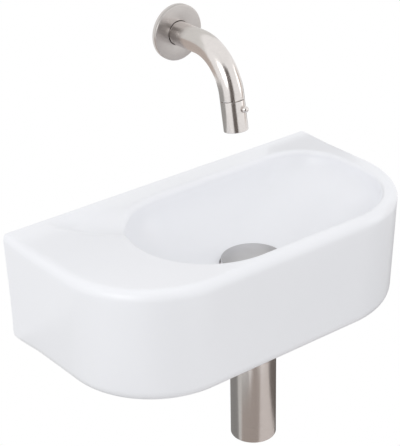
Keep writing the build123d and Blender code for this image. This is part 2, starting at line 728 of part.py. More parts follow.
def make_nipple_rings():
    root = NIPPLE_R - RING_WIDTH / 2
    return [
        on_tap(groove_ring(NIPPLE_R + RUNNING, root, middle, RING_WIDTH)) for middle in nipple_grooves()
    ]


def make_spout_grub_screw():
    """Set screw from below, flush with the spout, with a hexagonal socket."""
    screw = disc(GRUB_R, NIPPLE_R - GRUB_DIMPLE + SNUG, SPOUT_R - SNUG)
    screw -= hexagon(GRUB_R, SPOUT_R - SNUG - GRUB_SOCKET, SPOUT_R + 1)
    return Pos(DRAIN_X, -GRUB_FROM_WALL, TAP_Z) * Rot(180, 0, 0) * screw


# Valve and end sleeve, made upright over the spout's tip and tilted onto the spout's end


def on_end(shape):
    """Carries a shape from the Z axis to the spout's end, with height 0 at its tip."""
    return Pos(DRAIN_X, TIP_Y, TIP_Z) * Rot(-TAP_END_TILT, 0, 0) * shape


CIRCLIP_TOP = SLEEVE_SHOULDER - LOOSE
CIRCLIP_ROOT_R = NECK_JOURNAL_R - CIRCLIP_DEPTH
PLUG_R = SPOUT_R - SPOUT_WALL - SNUG
PLUG_RING_MIDDLE = SLEEVE_LENGTH + VALVE_PLUG / 2
JOURNAL_RING_MIDDLE = SLEEVE_SHOULDER + JOURNAL_RING_ABOVE
SLEEVE_TOP = SLEEVE_LENGTH - SLEEVE_LINE
JOURNAL_BORE_R = NECK_JOURNAL_R + RUNNING


def make_valve_body():
    """Insert in the spout's end: a plug with an O-ring groove, and below it the sleeve's journal."""
    body = disc(PLUG_R, SLEEVE_LENGTH, SLEEVE_LENGTH + VALVE_PLUG)
    body += disc(NECK_JOURNAL_R, NECK_END, SLEEVE_LENGTH + 1)
    body -= disc(VALVE_BORE_R, NECK_END - 1, SLEEVE_LENGTH + VALVE_PLUG + 1)
    for radius, middle in ((PLUG_R, PLUG_RING_MIDDLE), (NECK_JOURNAL_R, JOURNAL_RING_MIDDLE)):
        low, high = middle - RING_WIDTH / 2, middle + RING_WIDTH / 2
        body -= ring(radius + 1, radius - RING_WIDTH / 2, low, high)
    body -= ring(NECK_JOURNAL_R + 1, CIRCLIP_ROOT_R, CIRCLIP_TOP - CIRCLIP, CIRCLIP_TOP)
    return on_end(body)


def make_valve_rings():
    half = RING_WIDTH / 2
    upper = groove_ring(PLUG_R + RUNNING, PLUG_R - half, PLUG_RING_MIDDLE, RING_WIDTH)
    lower = groove_ring(NECK_JOURNAL_R, NECK_JOURNAL_R - half, JOURNAL_RING_MIDDLE, RING_WIDTH)
    return [on_end(upper), on_end(lower)]


def make_sleeve_circlip():
    """Open spring ring in the journal's groove, which keeps the sleeve on."""
    outer, low = SLEEVE_BORE_R - LOOSE, CIRCLIP_TOP - CIRCLIP + RUNNING
    clip = ring(outer, CIRCLIP_ROOT_R + RUNNING, low, CIRCLIP_TOP)
    gap = Pos(0, SLEEVE_BORE_R, CIRCLIP_TOP) * Box(CIRCLIP_GAP, SLEEVE_BORE_R, 4 * CIRCLIP)
    return on_end(clip - gap)


FIXED_DISC_LOW = NECK_END - DISC
MOVING_DISC_TOP = FIXED_DISC_LOW - RUNNING
MOVING_DISC_LOW = MOVING_DISC_TOP - DISC


def ports(turn):
    """Two round water ports opposite each other, at a turn about the axis."""
    port = Pos(PORT_OFFSET, 0, MOVING_DISC_LOW) * Cylinder(PORT_R, 6 * DISC)
    return [Rot(0, 0, turn + half) * port for half in (0, 180)]


def make_fixed_disc():
    return on_end(disc(DISC_R, FIXED_DISC_LOW, NECK_END) - ports(0))


def dogs(width, depth, low, high):
    """Two driving dogs, opposite each other, from just outside the sleeve's bore inwards."""
    root = SLEEVE_BORE_R + 4 * SNUG
    middle = (root + SLEEVE_BORE_R - depth) / 2
    block = Pos(middle, 0, (low + high) / 2) * Box(root - SLEEVE_BORE_R + depth, width, high - low)
    return [Rot(0, 0, LEVER_TURN_DEG + half) * block for half in (0, 180)]


def make_moving_disc():
    """Disc turned by the sleeve's dogs. Shut at rest: its ports stand across the fixed ones."""
    plate = disc(SLEEVE_BORE_R - SNUG, MOVING_DISC_LOW, MOVING_DISC_TOP)
    slots = dogs(DOG_WIDTH + 2 * SNUG, DOG_DEPTH + SNUG, MOVING_DISC_LOW - 1, MOVING_DISC_TOP + 1)
    return on_end(plate - slots - ports(90))


def make_nozzle_sleeve():
    """Turning end sleeve: journal bore above, chamber for discs and aerator below, two dogs inside."""
    sleeve = disc(SPOUT_R, 0, SLEEVE_TOP)
    sleeve = fillet(sleeve.edges().sort_by(Axis.Z)[0], SLEEVE_EDGE)
    sleeve = chamfer(sleeve.edges().sort_by(Axis.Z)[-1], SLEEVE_LINE / 2)
    sleeve -= disc(JOURNAL_BORE_R, SLEEVE_SHOULDER - 1, SLEEVE_TOP + 1)
    sleeve -= disc(SLEEVE_BORE_R, -1, SLEEVE_SHOULDER)
    for dog in dogs(DOG_WIDTH, DOG_DEPTH, MOVING_DISC_LOW, MOVING_DISC_TOP):
        sleeve += dog
    thread_hole = disc(LEVER_THREAD_R + RUNNING, SLEEVE_BORE_R - 2, SPOUT_R + 1)
    return on_end(sleeve - lever_axis(thread_hole))


def lever_axis(shape):
    """Lays a shape on the Z axis along the lever's own axis, out from the sleeve's axis."""
    return Pos(0, 0, LEVER_HEIGHT) * Rot(0, 0, LEVER_TURN_DEG) * Rot(90, 0, 0) * shape


def make_lever_pin():
    """Short ball-ended pin, screwed into the sleeve's wall."""
    knob = disc(LEVER_STEM_R, SPOUT_R / 2, LEVER_REACH) + Pos(0, 0, LEVER_REACH) * Sphere(LEVER_BALL_R)
    knob = lever_axis(knob) - disc(SPOUT_R + RUNNING, 0, 2 * SLEEVE_LENGTH)
    thread = lever_axis(disc(LEVER_THREAD_R, SLEEVE_BORE_R + SNUG, LEVER_REACH))
    return on_end(knob + thread)


AERATOR_TOP = AERATOR_RECESS + AERATOR_HEIGHT


def make_aerator_housing():
    """Screwed ring in the sleeve's mouth, with a lip that carries the insert."""
    outer = SLEEVE_BORE_R - SNUG
    shell = ring(outer, outer - AERATOR_WALL, AERATOR_RECESS, AERATOR_TOP)
    lip_top = AERATOR_RECESS + AERATOR_LIP
    return on_end(shell + ring(outer, outer - AERATOR_WALL - AERATOR_LIP, AERATOR_RECESS, lip_top))


def make_aerator_insert():
    """Jet plate with rows of small holes."""
    radius = SLEEVE_BORE_R - SNUG - AERATOR_WALL - SNUG
    plate = disc(radius, AERATOR_RECESS + AERATOR_LIP, AERATOR_TOP - EDGE_STEP)
    jets = [
        Pos(x, y, AERATOR_TOP / 2) * Cylinder(JET_R, 2 * AERATOR_TOP)
        for x, y in jet_places(radius - 3 * JET_R)
    ]
    return on_end(plate - jets)


def jet_places(reach):
    """Places of the jets: a triangular grid as far as the reach from the middle."""
    rows = int(reach / (JET_PITCH * sqrt(0.75)))
    places = []
    for row in range(-rows, rows + 1):
        for column in range(-rows, rows + 1):
            x = (column + (row % 2) / 2) * JET_PITCH
            y = row * JET_PITCH * sqrt(0.75)
            if x * x + y * y <= reach * reach:
                places.append((x, y))
    return places


def make_aerator_seal():
    outer, low = SLEEVE_BORE_R - SNUG, AERATOR_TOP + SNUG
    return on_end(ring(outer, outer - AERATOR_SEAL_WIDTH, low, low + AERATOR_SEAL))


def write(name, shape):
    """Writes one node's solids to its STEP file."""
    solids = [s for part in (shape if isinstance(shape, list) else [shape]) for s in part.solids()]
    export_step(Compound(solids) if len(solids) > 1 else solids[0], f"parts/{name}.step")


NODES = {
    "basin": make_basin,
    "wall_studs": make_wall_studs,
    "stud_bushes": make_stud_bushes,
    "stud_washers": make_stud_washers,
    "stud_nuts": make_stud_nuts,
    "waste_cover": make_waste_cover,
    "cover_stem": make_cover_stem,
    "cover_ring": make_cover_ring,
    "waste_body": make_waste_body,
    "flange_gasket": make_flange_gasket,
    "lower_gasket": make_lower_gasket,
    "slip_washer": make_slip_washer,
    "waste_backnut": make_waste_backnut,
    "inlet_seal": make_inlet_seal,
    "inlet_nut": make_inlet_nut,
    "trap_head": make_trap_head,
    "dip_tube": make_dip_tube,
    "trap_cup": make_trap_cup,
    "cup_ring": make_cup_ring,
    "outlet_nut": make_outlet_nut,
    "outlet_seal": make_outlet_seal,
    "outlet_pipe": make_outlet_pipe,
    "outlet_rosette": make_outlet_rosette,
    "outlet_grip": make_outlet_grip,
    "tap_rosette": make_tap_rosette,
    "rosette_ring": make_rosette_ring,
    "spout_tube": make_spout_tube,
    "inlet_nipple": make_inlet_nipple,
    "nipple_rings": make_nipple_rings,
    "spout_grub_screw": make_spout_grub_screw,
    "valve_body": make_valve_body,
    "valve_rings": make_valve_rings,
    "sleeve_circlip": make_sleeve_circlip,
    "fixed_disc": make_fixed_disc,
    "moving_disc": make_moving_disc,
    "nozzle_sleeve": make_nozzle_sleeve,
    "lever_pin": make_lever_pin,
    "aerator_housing": make_aerator_housing,
    "aerator_insert": make_aerator_insert,
    "aerator_seal": make_aerator_seal,
}

os.makedirs("parts", exist_ok=True)
for node, make in NODES.items():
    write(node, make())
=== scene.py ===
"""Dresses the wall-hung hand basin: glazed ceramic, wall tap, waste and bottle trap, on a pale stage.

Lengths are in millimetres inside the shape functions and in metres in Blender. +X runs right along
the wall, +Y into the wall and +Z up, and the origin lies midway between the two wall fixings.
"""

import json
from math import atan2, cos, degrees, hypot, pi, radians, sin, sqrt, tan

import bmesh
import bpy
import numpy as np
from bpy.props import FloatProperty, FloatVectorProperty, IntProperty, PointerProperty
from mathutils import Matrix, Vector


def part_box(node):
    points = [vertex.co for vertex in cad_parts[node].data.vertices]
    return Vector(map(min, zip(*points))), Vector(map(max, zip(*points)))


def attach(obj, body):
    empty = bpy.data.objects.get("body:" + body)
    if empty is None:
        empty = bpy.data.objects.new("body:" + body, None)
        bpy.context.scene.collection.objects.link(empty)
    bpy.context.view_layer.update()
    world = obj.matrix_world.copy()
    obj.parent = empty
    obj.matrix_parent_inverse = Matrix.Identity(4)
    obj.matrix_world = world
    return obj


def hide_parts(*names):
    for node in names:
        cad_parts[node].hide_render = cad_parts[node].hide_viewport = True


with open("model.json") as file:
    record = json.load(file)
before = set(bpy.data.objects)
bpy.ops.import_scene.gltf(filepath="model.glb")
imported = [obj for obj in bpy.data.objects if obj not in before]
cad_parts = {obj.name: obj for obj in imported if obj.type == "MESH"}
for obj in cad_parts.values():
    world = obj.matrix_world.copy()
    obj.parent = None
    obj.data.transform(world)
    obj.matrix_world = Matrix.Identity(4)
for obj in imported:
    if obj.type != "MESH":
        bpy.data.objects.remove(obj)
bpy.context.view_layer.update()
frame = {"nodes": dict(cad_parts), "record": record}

bl_info = {
    "name": "Hand basin dressing",
    "version": (1, 0, 0),
    "blender": (4, 5, 0),
    "location": "3D View > Sidebar > Basin",
    "description": "Builds the visible skins and finishes of a wall-hung hand basin",
    "category": "Object",
}

MM = 0.001


def cad_box(node):
    """Lowest and highest corners of a CAD node, in millimetres."""
    low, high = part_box(node)
    return np.array(low) / MM, np.array(high) / MM


# Places taken from the frame
BASIN_LOW, BASIN_HIGH = cad_box("basin")
COVER_LOW, COVER_HIGH = cad_box("waste_cover")
WASTE_LOW, WASTE_HIGH = cad_box("waste_body")
CUP_LOW, CUP_HIGH = cad_box("trap_cup")
HEAD_LOW, HEAD_HIGH = cad_box("trap_head")
NUT_LOW, NUT_HIGH = cad_box("inlet_nut")
PIPE_LOW, PIPE_HIGH = cad_box("outlet_pipe")
ROSETTE_LOW, ROSETTE_HIGH = cad_box("tap_rosette")
RIM_Z, BASE_Z = BASIN_HIGH[2], BASIN_LOW[2]
HALF_WIDTH = BASIN_HIGH[0]
DEPTH = -BASIN_LOW[1]
DRAIN_X = (COVER_LOW[0] + COVER_HIGH[0]) / 2
DRAIN_Y = (COVER_LOW[1] + COVER_HIGH[1]) / 2
FLOOR_Z = WASTE_HIGH[2]
TAIL_END_Z = WASTE_LOW[2]
BRANCH_Z = (PIPE_LOW[2] + PIPE_HIGH[2]) / 2
TAP_Z = (ROSETTE_LOW[2] + ROSETTE_HIGH[2]) / 2


# Mesh making


def skin(points, wrap_rows=False, wrap_columns=True):
    """Quads over a grid of points with rows and columns, and a map with the turn around and length along.

    The turn is the column as a share of the whole. The length is the mean distance between rows, added up.
    """
    rows, columns = points.shape[:2]
    step = np.linalg.norm(np.roll(points, -1, axis=0) - points, axis=2).mean(axis=1) * MM
    start = np.concatenate(([0.0], np.cumsum(step)[:-1]))
    row, column = np.meshgrid(
        np.arange(rows if wrap_rows else rows - 1),
        np.arange(columns if wrap_columns else columns - 1),
        indexing="ij",
    )
    next_row, next_column = (row + 1) % rows, (column + 1) % columns
    corners = [(row, column), (row, next_column), (next_row, next_column), (next_row, column)]
    quads = np.stack([a * columns + b for a, b in corners], axis=-1).reshape(-1, 4)
    turn = np.stack([column, column + 1, column + 1, column], axis=-1) / columns
    along = np.stack([start[row], start[row], start[row] + step[row], start[row] + step[row]], axis=-1)
    return points.reshape(-1, 3), quads, np.stack([turn, along], axis=-1).reshape(-1, 2)


def build(name, skins, material, body, nodes, sharp_deg=40.0):
    """Makes one piece of its skins, closes seams and poles, turns faces outwards, and sets it on its body."""
    counts = np.cumsum([0] + [len(s[0]) for s in skins])
    vertices = np.concatenate([s[0] for s in skins]) * MM
    faces = np.concatenate([s[1] + shift for s, shift in zip(skins, counts)])
    uv = np.concatenate([s[2] for s in skins])
    mesh = bpy.data.meshes.new(name)
    mesh.from_pydata(vertices.tolist(), [], faces.tolist())
    layer = mesh.uv_layers.new(name="turn_and_length")
    layer.data.foreach_set("uv", uv.astype(np.float32).ravel())
    shell = bmesh.new()
    shell.from_mesh(mesh)
    bmesh.ops.remove_doubles(shell, verts=shell.verts, dist=2e-6)
    bmesh.ops.dissolve_degenerate(shell, edges=shell.edges, dist=1e-7)
    bmesh.ops.recalc_face_normals(shell, faces=shell.faces)
    shell.to_mesh(mesh)
    shell.free()
    mesh.shade_smooth()
    mesh.set_sharp_from_angle(angle=radians(sharp_deg))
    piece = bpy.data.objects.new(name, mesh)
    bpy.context.scene.collection.objects.link(piece)
    mesh.materials.append(material)
    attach(piece, body)
    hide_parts(*nodes)
    return piece


def rounded(corners, radii, steps=7, closed=False):
    """Profile through corners, each corner eased by an arc of its radius, tangent to both its runs."""
    corners = np.array(corners, float)
    count = len(corners)
    out = []
    for i, radius in enumerate(radii):
        here = corners[i]
        if radius <= 0 or (not closed and i in (0, count - 1)):
            out.append(here)
            continue
        before, after = corners[i - 1] - here, corners[(i + 1) % count] - here
        reach = min(np.linalg.norm(before), np.linalg.norm(after))
        before, after = before / np.linalg.norm(before), after / np.linalg.norm(after)
        half = np.arccos(np.clip(before @ after, -1, 1)) / 2
        back = min(radius / tan(half), 0.49 * reach)
        radius = back * tan(half)
        bisector = (before + after) / np.linalg.norm(before + after)
        centre = here + bisector * radius / sin(half)
        first, last = here + before * back - centre, here + after * back - centre
        angle = atan2(first[1], first[0])
        sweep = (atan2(last[1], last[0]) - angle + pi) % (2 * pi) - pi
        turns = angle + sweep * np.linspace(0, 1, steps)
        out.extend(centre + radius * np.stack([np.cos(turns), np.sin(turns)], axis=1))
    return np.array(out)


def revolve(profile, segments=128):
    """Profile of radius and height carried round the Z axis: x = r cos a, y = r sin a, z = height."""
    turn = np.linspace(0, 2 * pi, segments, endpoint=False)
    radius, height = profile[:, :1], profile[:, 1:]
    return np.stack(
        [radius * np.cos(turn), radius * np.sin(turn), np.broadcast_to(height, radius.shape) + 0 * turn],
        axis=2,
    )


def polar(radius, height):
    """Grid from a radius and a height given for every row and column, columns even round the Z axis."""
    turn = np.linspace(0, 2 * pi, radius.shape[1], endpoint=False)
    return np.stack([radius * np.cos(turn), radius * np.sin(turn), np.broadcast_to(height, radius.shape)], axis=2)


def at_drain(points):
    """Moves points from the Z axis to the drain's axis."""
    return points + np.array([DRAIN_X, DRAIN_Y, 0.0])


def from_wall(points, x, z):
    """Lays points on the Z axis along +Y, at one place of the wall's face."""
    return np.stack([points[..., 0] + x, points[..., 2], z - points[..., 1]], axis=-1)


def thread(row_height, turn, radius, depth, pitch, start, end):
    """Radius of a screw thread: a smooth ridge whose crest climbs one pitch each turn.

    It is the radius less the depth times a rounded triangle wave of height / pitch - turn / 2 pi,
    fading out over one pitch at the start and at the end.
    """
    phase = (row_height / pitch - turn / (2 * pi)) % 1.0
    valley = np.clip(1.6 * np.abs(2 * phase - 1) - 0.3, 0, 1)
    fade = np.clip((row_height - start) / pitch, 0, 1) * np.clip((end - row_height) / pitch, 0, 1)
    return radius - depth * valley * fade


# The ceramic


def outline_points():
    """Basin's plan outline at the rim and its outward normals, all round.

    Straight side, large front corner, straight front, large front corner, straight side, then the back
    corner, the line on the wall and the other back corner, each run sampled by its own count.
    """
    corner = BACK_CORNER
    left, right, front = -HALF_WIDTH, HALF_WIDTH, -DEPTH
    runs = []

    def line(a, b, normal, spots):
        spots = np.asarray(spots)[:, None]
        runs.append((np.array(a) * (1 - spots) + np.array(b) * spots, np.tile(normal, (len(spots), 1))))

    def arc(centre, radius, start, end, count):
        turn = np.radians(np.linspace(start, end, count, endpoint=False))
        normal = np.stack([np.cos(turn), np.sin(turn)], axis=1)
        runs.append((np.array(centre) + radius * normal, normal))

    def even(count):
        return np.linspace(0, 1, count, endpoint=False)

    line((left, -corner), (left, front + LEFT_CORNER), (-1.0, 0.0), even(26))
    arc((left + LEFT_CORNER, front + LEFT_CORNER), LEFT_CORNER, 180, 270, 78)
    line((left + LEFT_CORNER, front), (right - RIGHT_CORNER, front), (0.0, -1.0), even(58))
    arc((right - RIGHT_CORNER, front + RIGHT_CORNER), RIGHT_CORNER, 270, 360, 78)
    line((right, front + RIGHT_CORNER), (right, -corner), (1.0, 0.0), even(26))
    arc((right - corner, -corner), corner, 0, 90, 12)
    half_cut = ARCH_R + 0.5
    near, far = DRAIN_X + half_cut, DRAIN_X - half_cut
    line((right - corner, 0.0), (near, 0.0), (0.0, 1.0), even(34))
    line((near, 0.0), (far, 0.0), (0.0, 1.0), (1 - np.cos(pi * even(60))) / 2)
    line((far, 0.0), (left + corner, 0.0), (0.0, 1.0), even(60))
    arc((left + corner, -corner), corner, 90, 180, 12)
    return np.concatenate([r[0] for r in runs]), np.concatenate([r[1] for r in runs])


# Basin's plan and section, as in the CAD part
LEFT_CORNER, RIGHT_CORNER = 96.5, 103.0
BACK_CORNER = 4.0
SIDE_SLOPE = tan(radians(2.33))
BOTTOM_EDGE, BOTTOM_EDGE_AT_WALL, TOP_EDGE_AT_WALL, BACK_EDGE = 13.0, 9.0, 7.0, 1.2
BOWL_DEPTH = RIM_Z - FLOOR_Z
SEAT_R, SEAT_Z, SEAT_UNDER_Z, DRAIN_HOLE_R = 32.3, FLOOR_Z - 4.0, FLOOR_Z - 16.0, 23.0
SHELL_WALL, BOWL_WALL, BACK_WALL, DECK_THICKNESS = 10.0, 9.0, 14.0, 14.0
ARCH_R = 34.0
# Bowl side: where it starts at the rim, its limit at the seat, and the powers of its curve
BOWL_LEFT = (-HALF_WIDTH + 82.5, DRAIN_X - SEAT_R, 2.4, 2.3)
BOWL_RIGHT = (HALF_WIDTH - 24.0, DRAIN_X + SEAT_R, 2.3, 1.35)
BOWL_FRONT = (-DEPTH + 14.0, DRAIN_Y - SEAT_R, 2.2, 2.1)
BOWL_BACK = (-28.5, DRAIN_Y + SEAT_R, 1.9, 1.9)
DIP_AT_WALL, DIP_AT_BOWL = ((-148.0, 0.0), (-86.0, 0.0)), ((-103.0, -80.0), (-59.0, -34.0))
DIP_LOW, DIP_BULGE, DIP_RISE = 0.36, 12.0, 0.30


def side_at(side, share):
    """Place of one bowl side at a share of the depth: (1 - inset) ^ floor + share ^ wall = 1."""
    rim, seat, wall, floor = side
    return rim + (seat - rim) * (1 - (1 - share**wall) ** (1 / floor))


def bowl_ring(share, turns, grow=0.0):
    """Radius from the drain's axis of the bowl's level ring at one share of the depth, for given turns.

    The ring is a box with rounded corners: the distance is found where its signed distance is nought,
    by bisection along each ray.
    """
    left, right = side_at(BOWL_LEFT, share) - grow, side_at(BOWL_RIGHT, share) + grow
    front, back = side_at(BOWL_FRONT, share) - grow, side_at(BOWL_BACK, share) + grow
    half = (back - front) / 2
    full = 0.98 * half
    back_right = (0.64 + 0.34 * share**2) * half
    low, high = np.full(len(turns), 10.0), np.full(len(turns), 260.0)
    for _ in range(26):
        middle = (low + high) / 2
        x, y = DRAIN_X + middle * np.cos(turns), DRAIN_Y + middle * np.sin(turns)
        inside = (x > left) & (x < right) & (y > front) & (y < back)
        for cx, cy, sx, sy, radius in (
            (left + full, front + full, -1, -1, full),
            (right - full, front + full, 1, -1, full),
            (right - back_right, back - back_right, 1, 1, back_right),
            (left + full, back - full, -1, 1, full),
        ):
            in_corner = ((x - cx) * sx > 0) & ((y - cy) * sy > 0)
            inside &= ~(in_corner & (np.hypot(x - cx, y - cy) > radius))
        low, high = np.where(inside, middle, low), np.where(inside, high, middle)
    return low


def smooth_round(values, turns, width_deg):
    """Values at uneven turns averaged round the circle with a bell curve of the given width."""
    order = np.argsort(turns)
    even = np.linspace(-pi, pi, 1440, endpoint=False)
    level = np.interp(even, turns[order], values[order], period=2 * pi)
    bell = np.exp(-0.5 * (np.degrees(np.minimum(even + pi, pi - even)) / width_deg) ** 2)
    bell = np.roll(bell / bell.sum(), 0)
    spread = np.real(np.fft.ifft(np.fft.fft(level) * np.fft.fft(bell)))
    return np.interp(turns, even, spread, period=2 * pi)


def dip_depth(x, y, deepest):
    """Depth of the shallow dip in the deck, over a ruled patch from the wall to the bowl.

    A point is a share s across and a share t along: (1 - t) * wall(s) + t * bowl(s), less a bulge of
    4 t (1 - t) (1 - s) to the left. The depth is the deepest times a smooth step of t times half of
    1 - cos, nought at both sides and full at the low line.
    """
    (ax, _), (bx, _) = DIP_AT_WALL
    (cx, cy), (dx, dy) = DIP_AT_BOWL
    s = np.full(np.shape(x), 0.5)

    def miss_at(s):
        t = y / (cy + (dy - cy) * s)
        bulge = DIP_BULGE * 4 * np.clip(t, 0, 1) * (1 - np.clip(t, 0, 1))
        wall_x, bowl_x = ax + (bx - ax) * s, cx + (dx - cx) * s
        miss = (1 - t) * wall_x + t * bowl_x - bulge * (1 - s) - x
        return miss, (1 - t) * (bx - ax) + t * (dx - cx) + bulge, t

    for _ in range(12):
        miss, slope, _ = miss_at(s)
        s = np.clip(s - 0.8 * miss / slope, -0.5, 1.5)
    miss, _, t = miss_at(s)
    across = np.clip(np.where(s < DIP_LOW, s / DIP_LOW, (1 - s) / (1 - DIP_LOW)), 0, 1)
    found = (np.abs(miss) < 0.5) & (t > -0.05) & (t < 1.3)
    rise = np.clip(t / DIP_RISE, 0, 1)
    rise = rise * rise * (3 - 2 * rise)
    return np.where(found, deepest * rise * (0.5 - 0.5 * np.cos(pi * across)), 0.0)


def soft_least(a, b, ease):
    """Smaller of two heights, blended over the given ease."""
    gap = np.clip(0.5 + (b - a) / (2 * ease), 0, 1)
    return b + (a - b) * gap - ease * gap * (1 - gap)


def ceramic_rings(sizes):
    """Closed section of the ceramic for every point of its outline, as a grid of rings.

    Each column is the upright section through the drain's axis and one outline point: the seat, the
    bowl's wall, the eased mouth, the deck with its dip, the eased top edge, the drafted side, the eased
    bottom edge, the hollow underside and the drain hole.
    """
    outer, normal = outline_points()
    turns = np.arctan2(outer[:, 1] - DRAIN_Y, outer[:, 0] - DRAIN_X)
    columns = len(turns)
    ray = np.stack([np.cos(turns), np.sin(turns)], axis=1)
    on_wall = np.clip(normal[:, 1], 0, 1)
    # Slope of the outside and size of its eased edges, both smaller towards the wall
    slope = SIDE_SLOPE * np.stack([normal[:, 0], np.minimum(normal[:, 1], 0)], axis=1)
    from_wall_line = -outer[:, 1]
    at_back = from_wall_line < BACK_CORNER + 1e-6
    near = np.clip((from_wall_line - 4) / 40, 0, 1)
    grown = near * near * (3 - 2 * near)
    top_edge = TOP_EDGE_AT_WALL + (sizes.top_edge - TOP_EDGE_AT_WALL) * grown
    top_inset = top_edge + (BACK_EDGE - top_edge) * on_wall
    bottom_edge = BOTTOM_EDGE_AT_WALL + (BOTTOM_EDGE - BOTTOM_EDGE_AT_WALL) * grown
    bottom_inset = bottom_edge + (BACK_EDGE - bottom_edge) * on_wall

    # Mouth of the bowl: its line, its outward direction and its easing
    mouth_r = smooth_round(bowl_ring(0.0, turns), turns, 1.5)
    mouth = np.array([DRAIN_X, DRAIN_Y]) + mouth_r[:, None] * ray
    run = np.roll(mouth, -1, axis=0) - np.roll(mouth, 1, axis=0)
    out = np.stack([run[:, 1], -run[:, 0]], axis=1)
    out /= np.linalg.norm(out, axis=1)[:, None]
    out *= np.sign((out * ray).sum(axis=1))[:, None]
    angle = np.degrees(turns) % 360
    ease = np.interp(angle, MOUTH_EASE_AT, MOUTH_EASE)
    ease = smooth_round(ease, turns, 4.0)[:, None]
    deck_from = mouth + out * ease
    deck_z = RIM_Z - dip_depth(deck_from[:, 0], deck_from[:, 1], sizes.dip)
    mouth_share = (RIM_Z - deck_z + ease[:, 0]) / BOWL_DEPTH

    grid = []

    def inset_plan(inset, drop):
        """Outline drawn in and down the draft. Where the back corners would cross, they meet in a mitre."""
        inset = np.broadcast_to(inset, (columns,))
        drop = np.broadcast_to(drop, (columns,))
        plan = outer - normal * inset[:, None] - slope * drop[:, None]
        side = HALF_WIDTH - inset[0] - SIDE_SLOPE * drop[0]
        back = inset[on_wall > 0.99].min()
        plan[at_back, 0] = np.clip(plan[at_back, 0], -side, side)
        plan[at_back, 1] = np.maximum(plan[at_back, 1], -max(back, BACK_CORNER))
        plan[:, 1] = np.minimum(plan[:, 1], -back)
        return plan

    def add(plan, height):
        grid.append(np.concatenate([plan, np.broadcast_to(height, (columns,))[:, None]], axis=1))

    def ring(radius, height):
        add(np.array([DRAIN_X, DRAIN_Y]) + np.broadcast_to(radius, (columns,))[:, None] * ray, height)

    # Drain hole, seat and its edge
    ring(DRAIN_HOLE_R, SEAT_UNDER_Z + 1.0)
    ring(DRAIN_HOLE_R, SEAT_Z - 0.8)
    ring(DRAIN_HOLE_R + 0.8, SEAT_Z)
    ring(SEAT_R - 1.0, SEAT_Z)
    ring(SEAT_R, SEAT_Z + 0.6)
    # Bowl from the seat up, in equal shares of a curve that crowds at the floor
    levels = np.sin(np.linspace(pi / 2, 0, 64)) ** 0.8
    shares = 1 - (1 - levels) ** 1.0
    for level in shares[:-1]:
        share = np.minimum(level * (1 - mouth_share) + mouth_share, 1.0)
        add_share(ring, share, turns)
    # Eased mouth: a quarter round from the wall to the deck
    for lift in np.linspace(90, 0, 11)[0:]:
        a = radians(lift)
        add(mouth + out * ease * (1 - sin(a)), deck_z - ease[:, 0] * (1 - cos(a)))
    # Deck
    edge = inset_plan(top_inset, 0.0)
    for way in np.linspace(0, 1, 42)[1:]:
        plan = deck_from * (1 - way) + edge * way
        add(plan, RIM_Z - dip_depth(plan[:, 0], plan[:, 1], sizes.dip))
    # Eased top edge, drafted side, eased bottom edge
    edge_drop = dip_depth(edge[:, 0], edge[:, 1], sizes.dip)
    for lift in np.linspace(0, 90, 11)[1:]:
        a = radians(lift)
        drop = top_edge * (1 - cos(a))
        add(inset_plan(top_inset * (1 - sin(a)), drop), RIM_Z - drop - edge_drop * (1 - lift / 90))
    base = base_height(outer)
    side_low = base + bottom_edge
    for way in np.linspace(0, 1, 9)[1:]:
        height = (RIM_Z - top_edge) * (1 - way) + side_low * way
        add(outer - slope * (RIM_Z - height)[:, None], height)
    wall = SHELL_WALL + (BACK_WALL - SHELL_WALL) * on_wall
    inner_edge = 1.6
    reach = np.minimum(bottom_inset, wall - inner_edge)
    last = np.arccos(1 - reach / bottom_inset)
    for way in np.linspace(0, 1, 12)[1:]:
        a = last * way
        height = base + bottom_edge * (1 - np.sin(a))
        inset = bottom_inset * (1 - np.cos(a))
        add(inset_plan(inset, RIM_Z - height), height)
    foot = base + bottom_edge * (1 - np.sin(last))
    for way in np.linspace(0, 1, 5)[1:]:
        a = pi / 2 * way
        height = foot + inner_edge * (1 - cos(a))
        add(inset_plan(wall - inner_edge * cos(a), RIM_Z - height), height)
    # Underside: up the inside of the wall, under the deck and down round the bowl
    start = inset_plan(wall, RIM_Z - foot) - (DRAIN_X, DRAIN_Y)
    upper = inset_plan(wall, DECK_THICKNESS) - (DRAIN_X, DRAIN_Y)
    under_turns = np.arctan2(start[:, 1], start[:, 0])
    under_share = np.linspace(0, 1, 40)
    under_bowl = np.array([bowl_ring(s, under_turns, BOWL_WALL) for s in under_share])
    under_z = RIM_Z - under_share * (RIM_Z - SEAT_UNDER_Z)
    path_r, path_z = underside_paths(
        np.hypot(start[:, 0], start[:, 1]), np.hypot(upper[:, 0], upper[:, 1]), foot + inner_edge,
        under_bowl, under_z, RIM_Z - DECK_THICKNESS,
    )
    untwist = (turns - under_turns + pi) % (2 * pi) - pi
    for row in range(1, path_r.shape[0]):
        way = row / (path_r.shape[0] - 1)
        turn = under_turns + untwist * way**3
        plan = np.array([DRAIN_X, DRAIN_Y]) + path_r[row][:, None] * np.stack([np.cos(turn), np.sin(turn)], axis=1)
        add(plan, path_z[row])
    ring(DRAIN_HOLE_R + 1.0, SEAT_UNDER_Z)
    return np.array(grid)


# Easing of the bowl's mouth, in millimetres, by direction from the drain in degrees
MOUTH_EASE_AT = (0, 35, 60, 90, 120, 140, 150, 158, 170, 200, 270, 330, 360)
MOUTH_EASE = (4.5, 5.5, 7.0, 7.0, 7.5, 7.5, 5.5, 3.0, 2.2, 2.2, 2.2, 3.4, 4.5)


